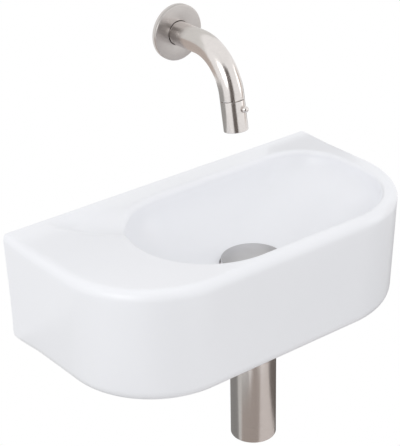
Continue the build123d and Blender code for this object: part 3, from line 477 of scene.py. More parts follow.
def add_share(ring, share, turns):
    """Adds the bowl's ring at a share that differs from column to column."""
    known = np.linspace(0, 1, 161) ** 0.9
    table = bowl_table(turns, known)
    place = np.interp(share, known, np.arange(len(known)))
    below = np.minimum(place.astype(int), len(known) - 2)
    part = place - below
    column = np.arange(len(turns))
    radius = table[below, column] * (1 - part) + table[below + 1, column] * part
    ring(radius, RIM_Z - share * BOWL_DEPTH)


_tables = {}


def bowl_table(turns, known):
    """Radius of the bowl at each known share and turn, smoothed a little round the ring. Kept once made."""
    key = len(turns), len(known)
    if key not in _tables:
        _tables[key] = np.array([smooth_round(bowl_ring(s, turns), turns, 1.5) for s in known])
    return _tables[key]


def base_height(outer):
    """Height of the basin's lower edge: level, and arched in the wall's line above the outlet pipe."""
    across = np.abs(outer[:, 0] - DRAIN_X)
    arch = BRANCH_Z + np.sqrt(np.clip(ARCH_R**2 - across**2, 0, None))
    in_arch = (outer[:, 1] > -0.5) & (across < ARCH_R)
    return np.where(in_arch, np.maximum(arch, BASE_Z), BASE_Z)


def underside_paths(start_r, top_r, foot, bowl_r, bowl_z, top, rows=46):
    """Section of the hollow underside in every column, as radii and heights at even steps.

    The corners are the foot of the wall, the inside of the wall under the deck, and the outside of the
    bowl's ceramic down to the seat. Even steps along it are averaged, which eases every corner.
    """
    columns = len(start_r)
    path_r, path_z = np.zeros((rows, columns)), np.zeros((rows, columns))
    for column in range(columns):
        radius, height = bowl_r[:, column], bowl_z
        wall = start_r[column] + (top_r[column] - start_r[column]) * np.clip(
            (height - foot[column]) / (top - foot[column]), 0, 1
        )
        clear = (radius < wall - 1.0) & (height < top)
        first = int(np.argmax(clear))
        meet_r = np.interp(height[first], [foot[column], top], [start_r[column], top_r[column]])
        corners = [(start_r[column], foot[column]), (meet_r, min(height[first] + 4, top))]
        corners += list(zip(radius[first:], height[first:]))
        corners += [(DRAIN_HOLE_R + 2.0, SEAT_UNDER_Z)]
        corners = np.array(corners)
        length = np.concatenate(([0], np.cumsum(np.linalg.norm(np.diff(corners, axis=0), axis=1))))
        steps = np.linspace(0, length[-1], 4 * rows)
        r, z = np.interp(steps, length, corners[:, 0]), np.interp(steps, length, corners[:, 1])
        bell = np.exp(-0.5 * (np.arange(-9, 10) / 4.0) ** 2)
        bell /= bell.sum()
        r = np.convolve(np.pad(r, 9, "reflect", reflect_type="odd"), bell, "valid")
        z = np.convolve(np.pad(z, 9, "reflect", reflect_type="odd"), bell, "valid")
        pick = np.linspace(0, 4 * rows - 1, rows).astype(int)
        path_r[:, column], path_z[:, column] = r[pick], z[pick]
    return path_r, path_z


# Finishes


def group(name, inputs, outputs):
    """Empty shader node group with its named sockets and its two end nodes."""
    tree = bpy.data.node_groups.new(name, "ShaderNodeTree")
    for label, kind, value in inputs:
        socket = tree.interface.new_socket(label, in_out="INPUT", socket_type=kind)
        if value is not None:
            socket.default_value = value
    for label, kind in outputs:
        tree.interface.new_socket(label, in_out="OUTPUT", socket_type=kind)
    return tree, tree.nodes.new("NodeGroupInput"), tree.nodes.new("NodeGroupOutput")


class Wiring:
    """Short ways to add nodes to one tree and to join them."""

    def __init__(self, tree):
        self.tree = tree

    def put(self, kind, settings=(), **inputs):
        node = self.tree.nodes.new(kind)
        for key, value in dict(settings).items():
            setattr(node, key, value)
        for key, value in inputs.items():
            self.feed(node.inputs[key.replace("_", " ")], value)
        return node

    def feed(self, socket, value):
        if isinstance(value, bpy.types.NodeSocket):
            self.tree.links.new(value, socket)
        elif isinstance(value, tuple) and len(value) == 3 and socket.type == "RGBA":
            socket.default_value = (*value, 1.0)
        else:
            socket.default_value = value

    def maths(self, operation, first, second=None, clamp=False):
        node = self.tree.nodes.new("ShaderNodeMath")
        node.operation, node.use_clamp = operation, clamp
        self.feed(node.inputs[0], first)
        if second is not None:
            self.feed(node.inputs[1], second)
        return node.outputs[0]

    def spread(self, value, low, high, to_low=0.0, to_high=1.0):
        node = self.tree.nodes.new("ShaderNodeMapRange")
        for socket, v in zip(node.inputs[:5], (value, low, high, to_low, to_high)):
            self.feed(socket, v)
        return node.outputs[0]

    def noise(self, vector, scale, detail=3.0, roughness=0.5):
        return self.put(
            "ShaderNodeTexNoise", Vector=vector, Scale=scale, Detail=detail, Roughness=roughness
        ).outputs["Fac"]

    def mix(self, amount, first, second):
        node = self.tree.nodes.new("ShaderNodeMix")
        node.data_type = "RGBA"
        for socket, v in zip((node.inputs[0], node.inputs[6], node.inputs[7]), (amount, first, second)):
            self.feed(socket, v)
        return node.outputs[2]

    def place(self, settings=None, **values):
        """One of the shared effects, with its own values."""
        node = self.tree.nodes.new("ShaderNodeGroup")
        node.node_tree = bpy.data.node_groups[settings]
        for key, value in values.items():
            self.feed(node.inputs[key.replace("_", " ")], value)
        return node


def make_brushed_lines():
    """Fine lines round a turned or brushed piece: noise stretched along the turn, dense along the length."""
    tree, start, end = group(
        "Brushed lines",
        (
            ("Lines per metre", "NodeSocketFloat", 2600.0),
            ("Spread round", "NodeSocketFloat", 2.0),
            ("Unevenness", "NodeSocketFloat", 0.5),
        ),
        (("Lines", "NodeSocketFloat"), ("Broad bands", "NodeSocketFloat")),
    )
    w = Wiring(tree)
    uv = w.put("ShaderNodeUVMap", {"uv_map": "turn_and_length"}).outputs[0]
    parts = w.put("ShaderNodeSeparateXYZ", Vector=uv).outputs
    angle = w.maths("MULTIPLY", parts["X"], 2 * pi)
    round_x = w.maths("MULTIPLY", w.maths("COSINE", angle), start.outputs["Spread round"])
    round_y = w.maths("MULTIPLY", w.maths("SINE", angle), start.outputs["Spread round"])
    along = w.maths("MULTIPLY", parts["Y"], start.outputs["Lines per metre"])
    fine = w.put("ShaderNodeCombineXYZ", X=round_x, Y=round_y, Z=along).outputs[0]
    broad = w.put(
        "ShaderNodeCombineXYZ", X=round_x, Y=round_y, Z=w.maths("MULTIPLY", along, 0.04)
    ).outputs[0]
    lines = w.noise(fine, 1.0, 4.0, 0.65)
    bands = w.noise(broad, 1.0, 2.0, 0.5)
    mixed = w.maths("ADD", lines, w.maths("MULTIPLY", w.maths("SUBTRACT", bands, 0.5), start.outputs["Unevenness"]))
    w.feed(end.inputs["Lines"], mixed)
    w.feed(end.inputs["Broad bands"], bands)


def make_handling_marks():
    """Soft smudges and faint drying marks: two sizes of noise, sharpened where they overlap."""
    tree, start, end = group(
        "Handling marks",
        (("Scale", "NodeSocketFloat", 40.0), ("Amount", "NodeSocketFloat", 0.5)),
        (("Mask", "NodeSocketFloat"), ("Fine", "NodeSocketFloat")),
    )
    w = Wiring(tree)
    where = w.put("ShaderNodeTexCoord").outputs["Object"]
    large = w.noise(where, start.outputs["Scale"], 4.0, 0.6)
    small = w.noise(where, w.maths("MULTIPLY", start.outputs["Scale"], 7.0), 3.0, 0.6)
    overlap = w.maths("MULTIPLY", w.spread(large, 0.42, 0.68), w.spread(small, 0.35, 0.7))
    w.feed(end.inputs["Mask"], w.maths("MULTIPLY", overlap, start.outputs["Amount"], clamp=True))
    w.feed(end.inputs["Fine"], small)


def make_settled_dust():
    """Dust on faces that look up, broken by noise."""
    tree, start, end = group(
        "Settled dust",
        (("Amount", "NodeSocketFloat", 0.3), ("Scale", "NodeSocketFloat", 120.0)),
        (("Mask", "NodeSocketFloat"),),
    )
    w = Wiring(tree)
    up = w.put("ShaderNodeSeparateXYZ", Vector=w.put("ShaderNodeNewGeometry").outputs["Normal"]).outputs["Z"]
    facing = w.spread(up, 0.35, 0.95)
    broken = w.noise(w.put("ShaderNodeTexCoord").outputs["Object"], start.outputs["Scale"], 5.0, 0.65)
    mask = w.maths("MULTIPLY", facing, w.spread(broken, 0.4, 0.75))
    w.feed(end.inputs["Mask"], w.maths("MULTIPLY", mask, start.outputs["Amount"], clamp=True))


def make_cast_surface():
    """Slow waves and fine grain of a cast or moulded surface, as one height."""
    tree, start, end = group(
        "Cast surface",
        (
            ("Wave scale", "NodeSocketFloat", 14.0),
            ("Grain scale", "NodeSocketFloat", 900.0),
            ("Grain share", "NodeSocketFloat", 0.1),
        ),
        (("Height", "NodeSocketFloat"), ("Tone", "NodeSocketFloat")),
    )
    w = Wiring(tree)
    where = w.put("ShaderNodeTexCoord").outputs["Object"]
    waves = w.noise(where, start.outputs["Wave scale"], 2.0, 0.4)
    grain = w.noise(where, start.outputs["Grain scale"], 3.0, 0.6)
    w.feed(end.inputs["Height"], w.maths("ADD", waves, w.maths("MULTIPLY", grain, start.outputs["Grain share"])))
    w.feed(end.inputs["Tone"], w.noise(where, w.maths("MULTIPLY", start.outputs["Wave scale"], 0.5), 4.0, 0.6))


FINISH_PREFIX = "dressed_"


def material(name, roughness=0.5, metallic=0.0, **fixed):
    """New material with its wiring and its Principled shader, whose plain numbers are set on it."""
    made = bpy.data.materials.new(FINISH_PREFIX + name)
    made.use_nodes = True
    shader = made.node_tree.nodes["Principled BSDF"]
    shader.inputs["Roughness"].default_value = roughness
    shader.inputs["Metallic"].default_value = metallic
    for key, value in fixed.items():
        shader.inputs[key.replace("_", " ")].default_value = value
    return made, Wiring(made.node_tree), shader


def bump(w, shader, height, strength, distance):
    node = w.put("ShaderNodeBump", Height=height, Strength=strength, Distance=distance)
    w.feed(shader.inputs["Normal"], node.outputs[0])


def darker(colour, factor):
    return tuple(c * factor for c in colour)


def glazed_ceramic(name, colour):
    """White glaze: slow waves, a faint change of tone, and soft marks that dull the gloss."""
    made, w, shader = material(name)
    cast = w.place("Cast surface", Wave_scale=16.0, Grain_scale=700.0, Grain_share=0.03)
    marks = w.place("Handling marks", Scale=22.0, Amount=0.25)
    tone = w.spread(cast.outputs["Tone"], 0.3, 0.7, 0.0, 1.0)
    w.feed(shader.inputs["Base Color"], w.mix(tone, darker(colour, 0.985), colour))
    w.feed(shader.inputs["Roughness"], w.spread(marks.outputs["Mask"], 0.0, 1.0, 0.3, 0.36))
    bump(w, shader, cast.outputs["Height"], 0.25, 0.0006)
    return made


def brushed_metal(name, colour, roughness, lines=2600.0, contrast=0.16, depth=0.00003, dust=0.15):
    """Turned or brushed metal: fine lines in tone, gloss and height, with handling marks and dust."""
    made, w, shader = material(name, metallic=1.0)
    brushed = w.place("Brushed lines", Lines_per_metre=lines, Unevenness=0.5)
    marks = w.place("Handling marks", Scale=55.0, Amount=0.35)
    settled = w.place("Settled dust", Amount=dust)
    streak = w.spread(brushed.outputs["Lines"], 0.3, 0.7)
    tinted = w.mix(streak, darker(colour, 1 - contrast), darker(colour, 1 + contrast / 3))
    dusty = w.mix(settled.outputs["Mask"], tinted, (0.42, 0.41, 0.39))
    w.feed(shader.inputs["Base Color"], dusty)
    rough = w.maths("ADD", w.spread(streak, 0, 1, roughness * 1.15, roughness * 0.85),
                    w.maths("MULTIPLY", marks.outputs["Mask"], 0.1))
    w.feed(shader.inputs["Roughness"], w.maths("ADD", rough, w.maths("MULTIPLY", settled.outputs["Mask"], 0.35)))
    bump(w, shader, brushed.outputs["Lines"], 0.08, depth)
    return made


def satin_metal(name, colour, roughness, grain=1500.0):
    """Blasted, plated or drawn metal without lines: cloudy tone, fine grain and handling marks."""
    made, w, shader = material(name, metallic=1.0)
    cast = w.place("Cast surface", Wave_scale=60.0, Grain_scale=grain, Grain_share=0.6)
    marks = w.place("Handling marks", Scale=70.0, Amount=0.8)
    settled = w.place("Settled dust", Amount=0.15)
    tone = w.spread(cast.outputs["Tone"], 0.3, 0.7)
    tinted = w.mix(tone, darker(colour, 0.92), darker(colour, 1.04))
    w.feed(shader.inputs["Base Color"], w.mix(settled.outputs["Mask"], tinted, (0.42, 0.41, 0.39)))
    w.feed(shader.inputs["Roughness"], w.spread(marks.outputs["Mask"], 0, 1, roughness, roughness + 0.14))
    bump(w, shader, cast.outputs["Height"], 0.2, 0.00004)
    return made


def moulded(name, colour, roughness, grain=1400.0, mottle=0.06, dust=0.3, coat=0.0):
    """Moulded plastic, rubber or pressed ceramic: fine grain, slight mottling and settled dust."""
    made, w, shader = material(name, Coat_Weight=coat, Coat_Roughness=0.2)
    cast = w.place("Cast surface", Wave_scale=90.0, Grain_scale=grain, Grain_share=0.8)
    marks = w.place("Handling marks", Scale=90.0, Amount=0.6)
    settled = w.place("Settled dust", Amount=dust)
    tone = w.spread(cast.outputs["Tone"], 0.3, 0.7)
    tinted = w.mix(tone, darker(colour, 1 - mottle), darker(colour, 1 + mottle / 2))
    w.feed(shader.inputs["Base Color"], w.mix(settled.outputs["Mask"], tinted, (0.5, 0.49, 0.46)))
    w.feed(shader.inputs["Roughness"], w.spread(marks.outputs["Mask"], 0, 1, roughness, roughness + 0.12))
    bump(w, shader, cast.outputs["Height"], 0.3, 0.00006)
    return made


def finish(slot):
    """Material of one slot. The frame has plain materials of the slots' own names, so these have a prefix."""
    return bpy.data.materials[FINISH_PREFIX + slot]


def rgb(red, green, blue):
    """Linear colour from the usual 0 to 255 display values."""
    values = np.array([red, green, blue]) / 255
    return tuple(np.where(values <= 0.04045, values / 12.92, ((values + 0.055) / 1.055) ** 2.4))


# Settings that a user would change


class BasinSizes(bpy.types.PropertyGroup):
    top_edge: FloatProperty(
        name="Top edge", description="Easing of the basin's outer top edge, in millimetres",
        default=10.0, min=4.0, max=13.0,
    )
    dip: FloatProperty(
        name="Dip", description="Depth of the shallow dip in the deck, in millimetres",
        default=9.0, min=0.0, max=10.0,
    )
    round_segments: IntProperty(
        name="Round segments", description="Facets round each turned piece", default=144, min=24, max=256,
    )


class BasinColours(bpy.types.PropertyGroup):
    glaze: FloatVectorProperty(
        name="Glaze", description="Colour of the ceramic's glaze", subtype="COLOR",
        default=rgb(242.5, 243.6, 247.5), min=0.0, max=1.0,
    )
    steel: FloatVectorProperty(
        name="Steel", description="Colour of the brushed steel", subtype="COLOR",
        default=rgb(227, 222, 219), min=0.0, max=1.0,
    )
    cover: FloatVectorProperty(
        name="Waste cover", description="Colour of the waste cover", subtype="COLOR",
        default=rgb(206, 205, 206), min=0.0, max=1.0,
    )


class StudioSettings(bpy.types.PropertyGroup):
    sky: FloatProperty(
        name="Sky", description="Level of the even light from all round", default=0.875, min=0.0, max=2.0,
    )
    key: FloatProperty(
        name="Key light", description="Power of the soft light from the upper left", subtype="POWER",
        default=2.9, min=0.0, max=100.0,
    )
    lens: FloatProperty(
        name="Lens", description="Focal length on a 36 mm long side, in millimetres", default=120.4,
        min=20.0, max=300.0,
    )


# Operators


class BASIN_OT_finishes(bpy.types.Operator):
    """Make the shared effects and one material for each slot, and give them to the CAD nodes"""

    bl_idname = "basin.finishes"
    bl_label = "Finishes"

    def execute(self, context):
        colours = context.scene.basin_colours
        make_brushed_lines()
        make_handling_marks()
        make_settled_dust()
        make_cast_surface()
        steel, cover = tuple(colours.steel), tuple(colours.cover)
        glazed_ceramic("glazed_ceramic", tuple(colours.glaze))
        brushed_metal("brushed_steel", steel, 0.21, contrast=0.05, dust=0.03)
        # Wall plate: the same brushed steel with its colour made 0.8 times darker, painted shade standing in for the
        # dim surroundings that the flat plate reflects.
        brushed_metal("brushed_steel_plate_painted_shade", darker(steel, 0.8), 0.32, contrast=0.06, dust=0.03)
        satin_metal("cover_steel", cover, 0.36)
        brushed_metal("brass", (0.72, 0.52, 0.25), 0.24, lines=1800.0, contrast=0.12)
        satin_metal("fixing_steel", (0.58, 0.6, 0.63), 0.34, grain=900.0)
        moulded("bush_plastic", (0.80, 0.79, 0.75), 0.42)
        moulded("trap_plastic", (0.66, 0.66, 0.64), 0.4)
        moulded("seal_rubber", (0.035, 0.034, 0.033), 0.62, mottle=0.2, dust=0.25)
        moulded("disc_ceramic", (0.74, 0.71, 0.62), 0.3, grain=2600.0, mottle=0.1, dust=0.0)
        moulded("jet_plastic", (0.72, 0.75, 0.78), 0.35, dust=0.0)
        for part in frame["record"]["subparts"]:
            node = frame["nodes"][part["node"]]
            for place in node.material_slots:
                place.material = finish(part["material_slot"])
        return {"FINISHED"}


class BASIN_OT_ceramic(bpy.types.Operator):
    """Make the glazed ceramic basin"""

    bl_idname = "basin.ceramic"
    bl_label = "Ceramic basin"

    def execute(self, context):
        rings = ceramic_rings(context.scene.basin_sizes)
        build(
            "ceramic_basin", [skin(rings, wrap_rows=True)], finish("glazed_ceramic"),
            "frame", ["basin"], sharp_deg=60.0,
        )
        return {"FINISHED"}


# Waste


def hexagon_radius(flats, turn):
    """Distance from the axis to a hexagon's side: half the flats over the cosine of the turn from a flat."""
    return flats / 2 / np.cos((turn + pi / 6) % (pi / 3) - pi / 6)


def guide_arm(turn, inner, outer, width, low, high):
    """Flat arm from the guide to the tail's wall: a rounded rectangle carried out along one radius."""
    around = np.linspace(0, 2 * pi, 20, endpoint=False)
    power = 0.3
    across = width / 2 * np.sign(np.cos(around)) * np.abs(np.cos(around)) ** power
    height = (low + high) / 2 + (high - low) / 2 * np.sign(np.sin(around)) * np.abs(np.sin(around)) ** power
    rows = []
    for reach, size in ((inner, 0.0), (inner, 1.0), (outer, 1.0), (outer, 0.0)):
        x = np.full(20, reach)
        y = across * size
        z = (low + high) / 2 + (height - (low + high) / 2) * size
        rows.append(np.stack([x * cos(turn) - y * sin(turn), x * sin(turn) + y * cos(turn), z], axis=1))
    return np.array(rows)


class BASIN_OT_waste(bpy.types.Operator):
    """Make the waste: cover, flanged body with its thread and guide, gasket, washer and backnut"""

    bl_idname = "basin.waste"
    bl_label = "Waste"

    def execute(self, context):
        segments = context.scene.basin_sizes.round_segments
        self.cover(segments)
        self.body(segments)
        self.rings(segments)
        return {"FINISHED"}

    def cover(self, segments):
        top, radius, thick = COVER_HIGH[2], (COVER_HIGH[0] - COVER_LOW[0]) / 2, 2.5
        low = COVER_LOW[2]
        under = top - thick
        profile = rounded(
            [(0, top), (radius * 0.55, top), (radius, top - 0.25), (radius, under), (5.5, under),
             (5.5, low), (3.0, low), (3.0, under - 0.2), (0, under - 0.2)],
            [0, 8, 1.1, 0.5, 0.8, 0.4, 0.2, 0.2, 0],
        )
        build(
            "waste_disc", [skin(at_drain(revolve(profile, segments)))], finish("cover_steel"),
            "cover", ["waste_cover"],
        )

    def body(self, segments):
        flange_r = (WASTE_HIGH[0] - WASTE_LOW[0]) / 2
        top, end, tail, bore = FLOOR_Z, TAIL_END_Z, 20.95, 18.75
        under = top - 2.5
        outer_rows = np.linspace(under - 12.0, end + 1.2, 110)
        turn = np.linspace(0, 2 * pi, segments, endpoint=False)
        threaded = thread(outer_rows[:, None], turn, tail, 0.75, 2.309, end, under - 11.0)
        head = rounded(
            [(bore, top - 2.4), (bore + 1.6, top - 0.2), (flange_r - 1.2, top), (flange_r, top - 1.1),
             (flange_r, under), (tail, under), (tail, under - 12.0)],
            [0, 1.2, 1.0, 0.5, 0.3, 0.4, 0],
        )
        tail_end = rounded([(tail, end + 1.2), (tail - 0.9, end), (bore, end), (bore, top - 2.4)], [0, 0.3, 0.4, 0])
        skins = [
            np.concatenate([
                revolve(head, segments)[:-1],
                polar(threaded, outer_rows[:, None]),
                revolve(tail_end, segments)[1:-1],
            ])
        ]
        guide_top, guide_low = -27.4, -39.4
        guide = rounded(
            [(7.0, guide_low), (7.0, guide_top), (4.4, guide_top), (4.4, guide_low)], [0.6] * 4, closed=True
        )
        shells = [skin(at_drain(skins[0]), wrap_rows=True), skin(at_drain(revolve(guide, 64)), wrap_rows=True)]
        for turn_deg in (90, 210, 330):
            arm = guide_arm(radians(turn_deg), 6.6, bore + 0.5, 3.0, guide_low + 1.2, guide_top - 1.2)
            shells.append(skin(at_drain(arm)))
        build("waste_fitting", shells, finish("brushed_steel"), "frame", ["waste_body"])

    def rings(self, segments):
        gasket_low, washer_low = SEAT_UNDER_Z - 5.0, SEAT_UNDER_Z - 6.5
        inner = 21.05
        gasket = rounded(
            [(inner, gasket_low), (29.6, gasket_low), (30.0, (gasket_low + SEAT_UNDER_Z) / 2),
             (28.8, SEAT_UNDER_Z), (inner, SEAT_UNDER_Z)],
            [0.3, 1.2, 3.0, 1.0, 0.3], closed=True,
        )
        build(
            "waste_gasket", [skin(at_drain(revolve(gasket, segments)), wrap_rows=True)],
            finish("seal_rubber"), "frame", ["lower_gasket"],
        )
        washer = rounded(
            [(inner, washer_low), (29.0, washer_low), (29.0, gasket_low), (inner, gasket_low)],
            [0.2, 0.35, 0.35, 0.2], closed=True,
        )
        build(
            "waste_washer", [skin(at_drain(revolve(washer, segments)), wrap_rows=True)],
            finish("trap_plastic"), "frame", ["slip_washer"],
        )
        low, flange_low = washer_low - 10.0, washer_low - 2.5
        segments = 180
        turn = np.linspace(0, 2 * pi, segments, endpoint=False)
        hexed = hexagon_radius(50.4, turn)
        heights = np.array([low, low, low + 0.5, low + 2.2, flange_low - 0.3, flange_low, flange_low, washer_low - 0.4,
                            washer_low, washer_low])
        radii = np.stack([
            np.full(segments, 21.2), np.minimum(hexed, 25.6), np.minimum(hexed, 26.6), hexed, hexed,
            np.minimum(hexed + 0.3, 29.6), np.full(segments, 29.6), np.full(segments, 30.0),
            np.full(segments, 29.7), np.full(segments, 21.2),
        ])
        build(
            "waste_nut", [skin(at_drain(polar(radii, heights[:, None])), wrap_rows=True)],
            finish("brass"), "frame", ["waste_backnut"], sharp_deg=28.0,
        )


# Trap


def ribbed(outer, inner, lip, low, lip_top, high, ribs=24, columns=480):
    """Union nut on the Z axis: its outside radius is cut by a shallow hollow at each of its ribs' gaps."""
    turn = np.linspace(0, 2 * pi, columns, endpoint=False)
    off = ((turn * ribs / (2 * pi) + 0.5) % 1.0 - 0.5) * 2 * pi * outer / ribs
    hollow = 0.53 * np.clip(1 - (off / 0.76) ** 2, 0, 1)
    profile = rounded(
        [(inner, high), (outer - 0.9, high), (outer, high - 0.9), (outer, low + 0.9), (outer - 0.9, low),
         (lip, low), (lip, lip_top), (inner, lip_top)],
        [0.3, 0.4, 0.5, 0.5, 0.4, 0.3, 0.2, 0.2], steps=5, closed=True,
    )
    radius = np.repeat(profile[:, :1], columns, axis=1)
    outside = np.clip((radius - (outer - 0.95)) / 0.5, 0, 1)
    return polar(radius - hollow * outside, profile[:, 1:])


class BASIN_OT_trap(bpy.types.Operator):
    """Make the bottle trap: head with its branch, cup, union nuts, outlet pipe and its wall plate"""

    bl_idname = "basin.trap"
    bl_label = "Bottle trap"

    def execute(self, context):
        segments = context.scene.basin_sizes.round_segments
        self.cup(segments)
        self.head(segments)
        self.nuts()
        self.outlet(segments)
        return {"FINISHED"}

    def cup(self, segments):
        radius = (CUP_HIGH[0] - CUP_LOW[0]) / 2
        bottom, top = CUP_LOW[2], CUP_HIGH[2]
        joint = top - 5.3
        spigot, bore = 21.0, 19.0
        profile = rounded(
            [(0, bottom + 0.4), (radius - 5, bottom), (radius, bottom), (radius, joint), (spigot, joint),
             (spigot, top), (bore, top), (bore, bottom + 2.5), (0, bottom + 2.5)],
            [0, 4, 1.6, 0.35, 0.2, 0.4, 0.4, 3.0, 0],
        )
        build(
            "trap_bottle", [skin(at_drain(revolve(profile, segments)))], finish("brushed_steel"),
            "cup", ["trap_cup"],
        )

    def head(self, segments):
        radius = 23.3
        low, collar_top = HEAD_LOW[2], HEAD_HIGH[2]
        collar = collar_top - 3.0
        top = collar - 4.0
        joint_top = low + 6.5
        profile = rounded(
            [(15.6, collar_top), (20.4, collar_top), (20.4, collar), (18.0, collar), (18.0, top), (radius, top),
             (radius, low), (21.3, low), (21.3, joint_top), (19.8, joint_top), (19.8, top - 3), (15.6, top - 3)],
            [0.3, 0.4, 0.3, 0.4, 0.8, 1.6, 0.35, 0.2, 0.2, 0.2, 1.0, 0.3], closed=True,
        )
        shells = [skin(at_drain(revolve(profile, segments)), wrap_rows=True)]
        shells.append(skin(self.branch(radius), wrap_rows=True))
        build("trap_top", shells, finish("brushed_steel"), "frame", ["trap_head"])

    def branch(self, radius, columns=96):
        """Outlet branch: a tube to the wall whose foot flares onto the trap's cylinder by a quarter round.

        Along the flare the tube's radius is r + f (1 - cos a) and it stands f (1 - sin a) off the cylinder.
        """
        outer, bore, flare = 17.6, 16.05, 2.0
        end = DRAIN_Y + radius + 20.0
        turn = np.linspace(0, 2 * pi, columns, endpoint=False)
        rows = []
        for lift in np.linspace(-12, 90, 9):
            a = radians(lift)
            r = outer + flare * (1 - sin(a))
            x, z = r * np.cos(turn), r * np.sin(turn)
            on_body = np.sqrt(np.clip(radius**2 - x**2, 0, None))
            y = DRAIN_Y + on_body + flare * (1 - cos(a)) - (0.6 if lift < 0 else 0.0)
            rows.append(np.stack([DRAIN_X + x, y, BRANCH_Z + z], axis=1))
        for r, y in ((outer, end - 0.5), (outer - 0.15, end - 0.15), (outer - 0.5, end), (bore + 0.3, end),
                     (bore, end - 0.4), (bore, end - 14.0), (15.0, end - 14.0), (15.0, DRAIN_Y + 17.0)):
            y = np.full(columns, y)
            rows.append(np.stack([DRAIN_X + r * np.cos(turn), y, BRANCH_Z + r * np.sin(turn)], axis=1))
        return np.array(rows)

    def nuts(self):
        low, high = NUT_LOW[2], NUT_HIGH[2]
        inlet = ribbed(27.0, 21.0, 18.3, low, low + 3.0, high)
        build(
            "inlet_union", [skin(at_drain(inlet), wrap_rows=True)], finish("brushed_steel"),
            "frame", ["inlet_nut"], sharp_deg=30.0,
        )
        y_low, y_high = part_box("outlet_nut")[0][1] / MM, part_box("outlet_nut")[1][1] / MM
        outlet = ribbed(22.0, 17.65, 16.3, -y_high, -y_high + 3.0, -y_low)
        turned = np.stack([outlet[..., 0] + DRAIN_X, -outlet[..., 2], outlet[..., 1] + BRANCH_Z], axis=-1)
        build(
            "outlet_union", [skin(turned, wrap_rows=True)], finish("brushed_steel"),
            "frame", ["outlet_nut"], sharp_deg=30.0,
        )

    def outlet(self, segments):
        start, end = PIPE_LOW[1], PIPE_HIGH[1]
        pipe = rounded(
            [(15.0, start), (16.0, start), (16.0, 0.1), (15.8, 0.3), (15.8, end), (15.0, end)],
            [0.2, 0.3, 0, 0, 0.4, 0.2], closed=True,
        )
        build(
            "outlet_tube", [skin(from_wall(revolve(pipe, segments), DRAIN_X, BRANCH_Z), wrap_rows=True)],
            finish("brushed_steel"), "frame", ["outlet_pipe"],
        )
        plate = rounded(
            [(17.2, -6.3), (17.2, -9.0), (24.0, -8.4), (30.5, -4.0), (32.0, -0.4), (32.0, 0.0), (31.0, 0.0),
             (29.4, -3.0), (23.0, -6.3)],
            [0.2, 0.8, 6.0, 5.0, 0.5, 0.2, 0.2, 3.0, 3.0], closed=True,
        )
        build(
            "outlet_plate", [skin(from_wall(revolve(plate, segments), DRAIN_X, BRANCH_Z), wrap_rows=True)],
            finish("brushed_steel"), "frame", ["outlet_rosette"],
        )


# Tap

SPOUT_R, SPOUT_WALL = 11.7, 1.9
SPOUT_STRAIGHT, SPOUT_BEND_R, SPOUT_BEND, SPOUT_END = 37.3, 47.9, radians(80.0), 33.5
SLEEVE_LENGTH, SLEEVE_LINE = 29.0, 0.4
TIP_Y = -(SPOUT_STRAIGHT + SPOUT_BEND_R * sin(SPOUT_BEND) + SPOUT_END * cos(SPOUT_BEND))
TIP_Z = TAP_Z - SPOUT_BEND_R * (1 - cos(SPOUT_BEND)) - SPOUT_END * sin(SPOUT_BEND)


def on_end(points):
    """Carries points from the Z axis to the spout's end, with height 0 at its tip."""
    tilt = pi / 2 - SPOUT_BEND
    y = points[..., 1] * cos(tilt) + points[..., 2] * sin(tilt)
    z = -points[..., 1] * sin(tilt) + points[..., 2] * cos(tilt)
    return np.stack([points[..., 0] + DRAIN_X, y + TIP_Y, z + TIP_Z], axis=-1)


def spout_grid(columns):
    """Tube along the spout's centre line: each row is a circle square to the line.

    The line runs straight out of the wall, round the bend by its angle, and straight to the sleeve.
    """
    line = [(0.0, 0.0), (0.1, 0.0), (0.3, 0.0)] + [(s, 0.0) for s in np.linspace(2, SPOUT_STRAIGHT, 8)]
    line += [(SPOUT_STRAIGHT + SPOUT_BEND_R * sin(a), a) for a in np.linspace(0, SPOUT_BEND, 44)[1:]]
    tube_end = SPOUT_END - SLEEVE_LENGTH
    ways, angles, ends = [], [], []
    for distance in (0.0, 0.12, 0.35, *np.linspace(3, SPOUT_STRAIGHT, 8)):
        ways.append((-distance, TAP_Z))
        angles.append(0.0)
    for a in np.linspace(0, SPOUT_BEND, 46)[1:]:
        ways.append((-(SPOUT_STRAIGHT + SPOUT_BEND_R * sin(a)), TAP_Z - SPOUT_BEND_R * (1 - cos(a))))
        angles.append(a)
    last_y, last_z = ways[-1]
    for distance in (tube_end / 2, tube_end - 0.35, tube_end - 0.12, tube_end):
        ways.append((last_y - distance * cos(SPOUT_BEND), last_z - distance * sin(SPOUT_BEND)))
        angles.append(SPOUT_BEND)
    ways, angles = np.array(ways), np.array(angles)
    radii = np.full(len(ways), SPOUT_R)
    radii[[0, -1]] -= 0.35
    radii[[1, -2]] -= 0.1
    turn = np.linspace(0, 2 * pi, columns, endpoint=False)

    def tube(radius):
        x = DRAIN_X + radius[:, None] * np.cos(turn)
        up = radius[:, None] * np.sin(turn)
        y = ways[:, :1] - up * np.sin(angles)[:, None]
        z = ways[:, 1:] + up * np.cos(angles)[:, None]
        return np.stack([x, y, z], axis=2)

    return np.concatenate([tube(radii), tube(np.full(len(ways), SPOUT_R - SPOUT_WALL))[::-1]])


def lever_axis(points):
    """Lays points on the Z axis along the lever's own axis, out from the sleeve's axis."""
    turn, height = radians(15.0), 20.0
    x, y, z = points[..., 0], -points[..., 2], points[..., 1] + height
    return np.stack([x * cos(turn) - y * sin(turn), x * sin(turn) + y * cos(turn), z], axis=-1)


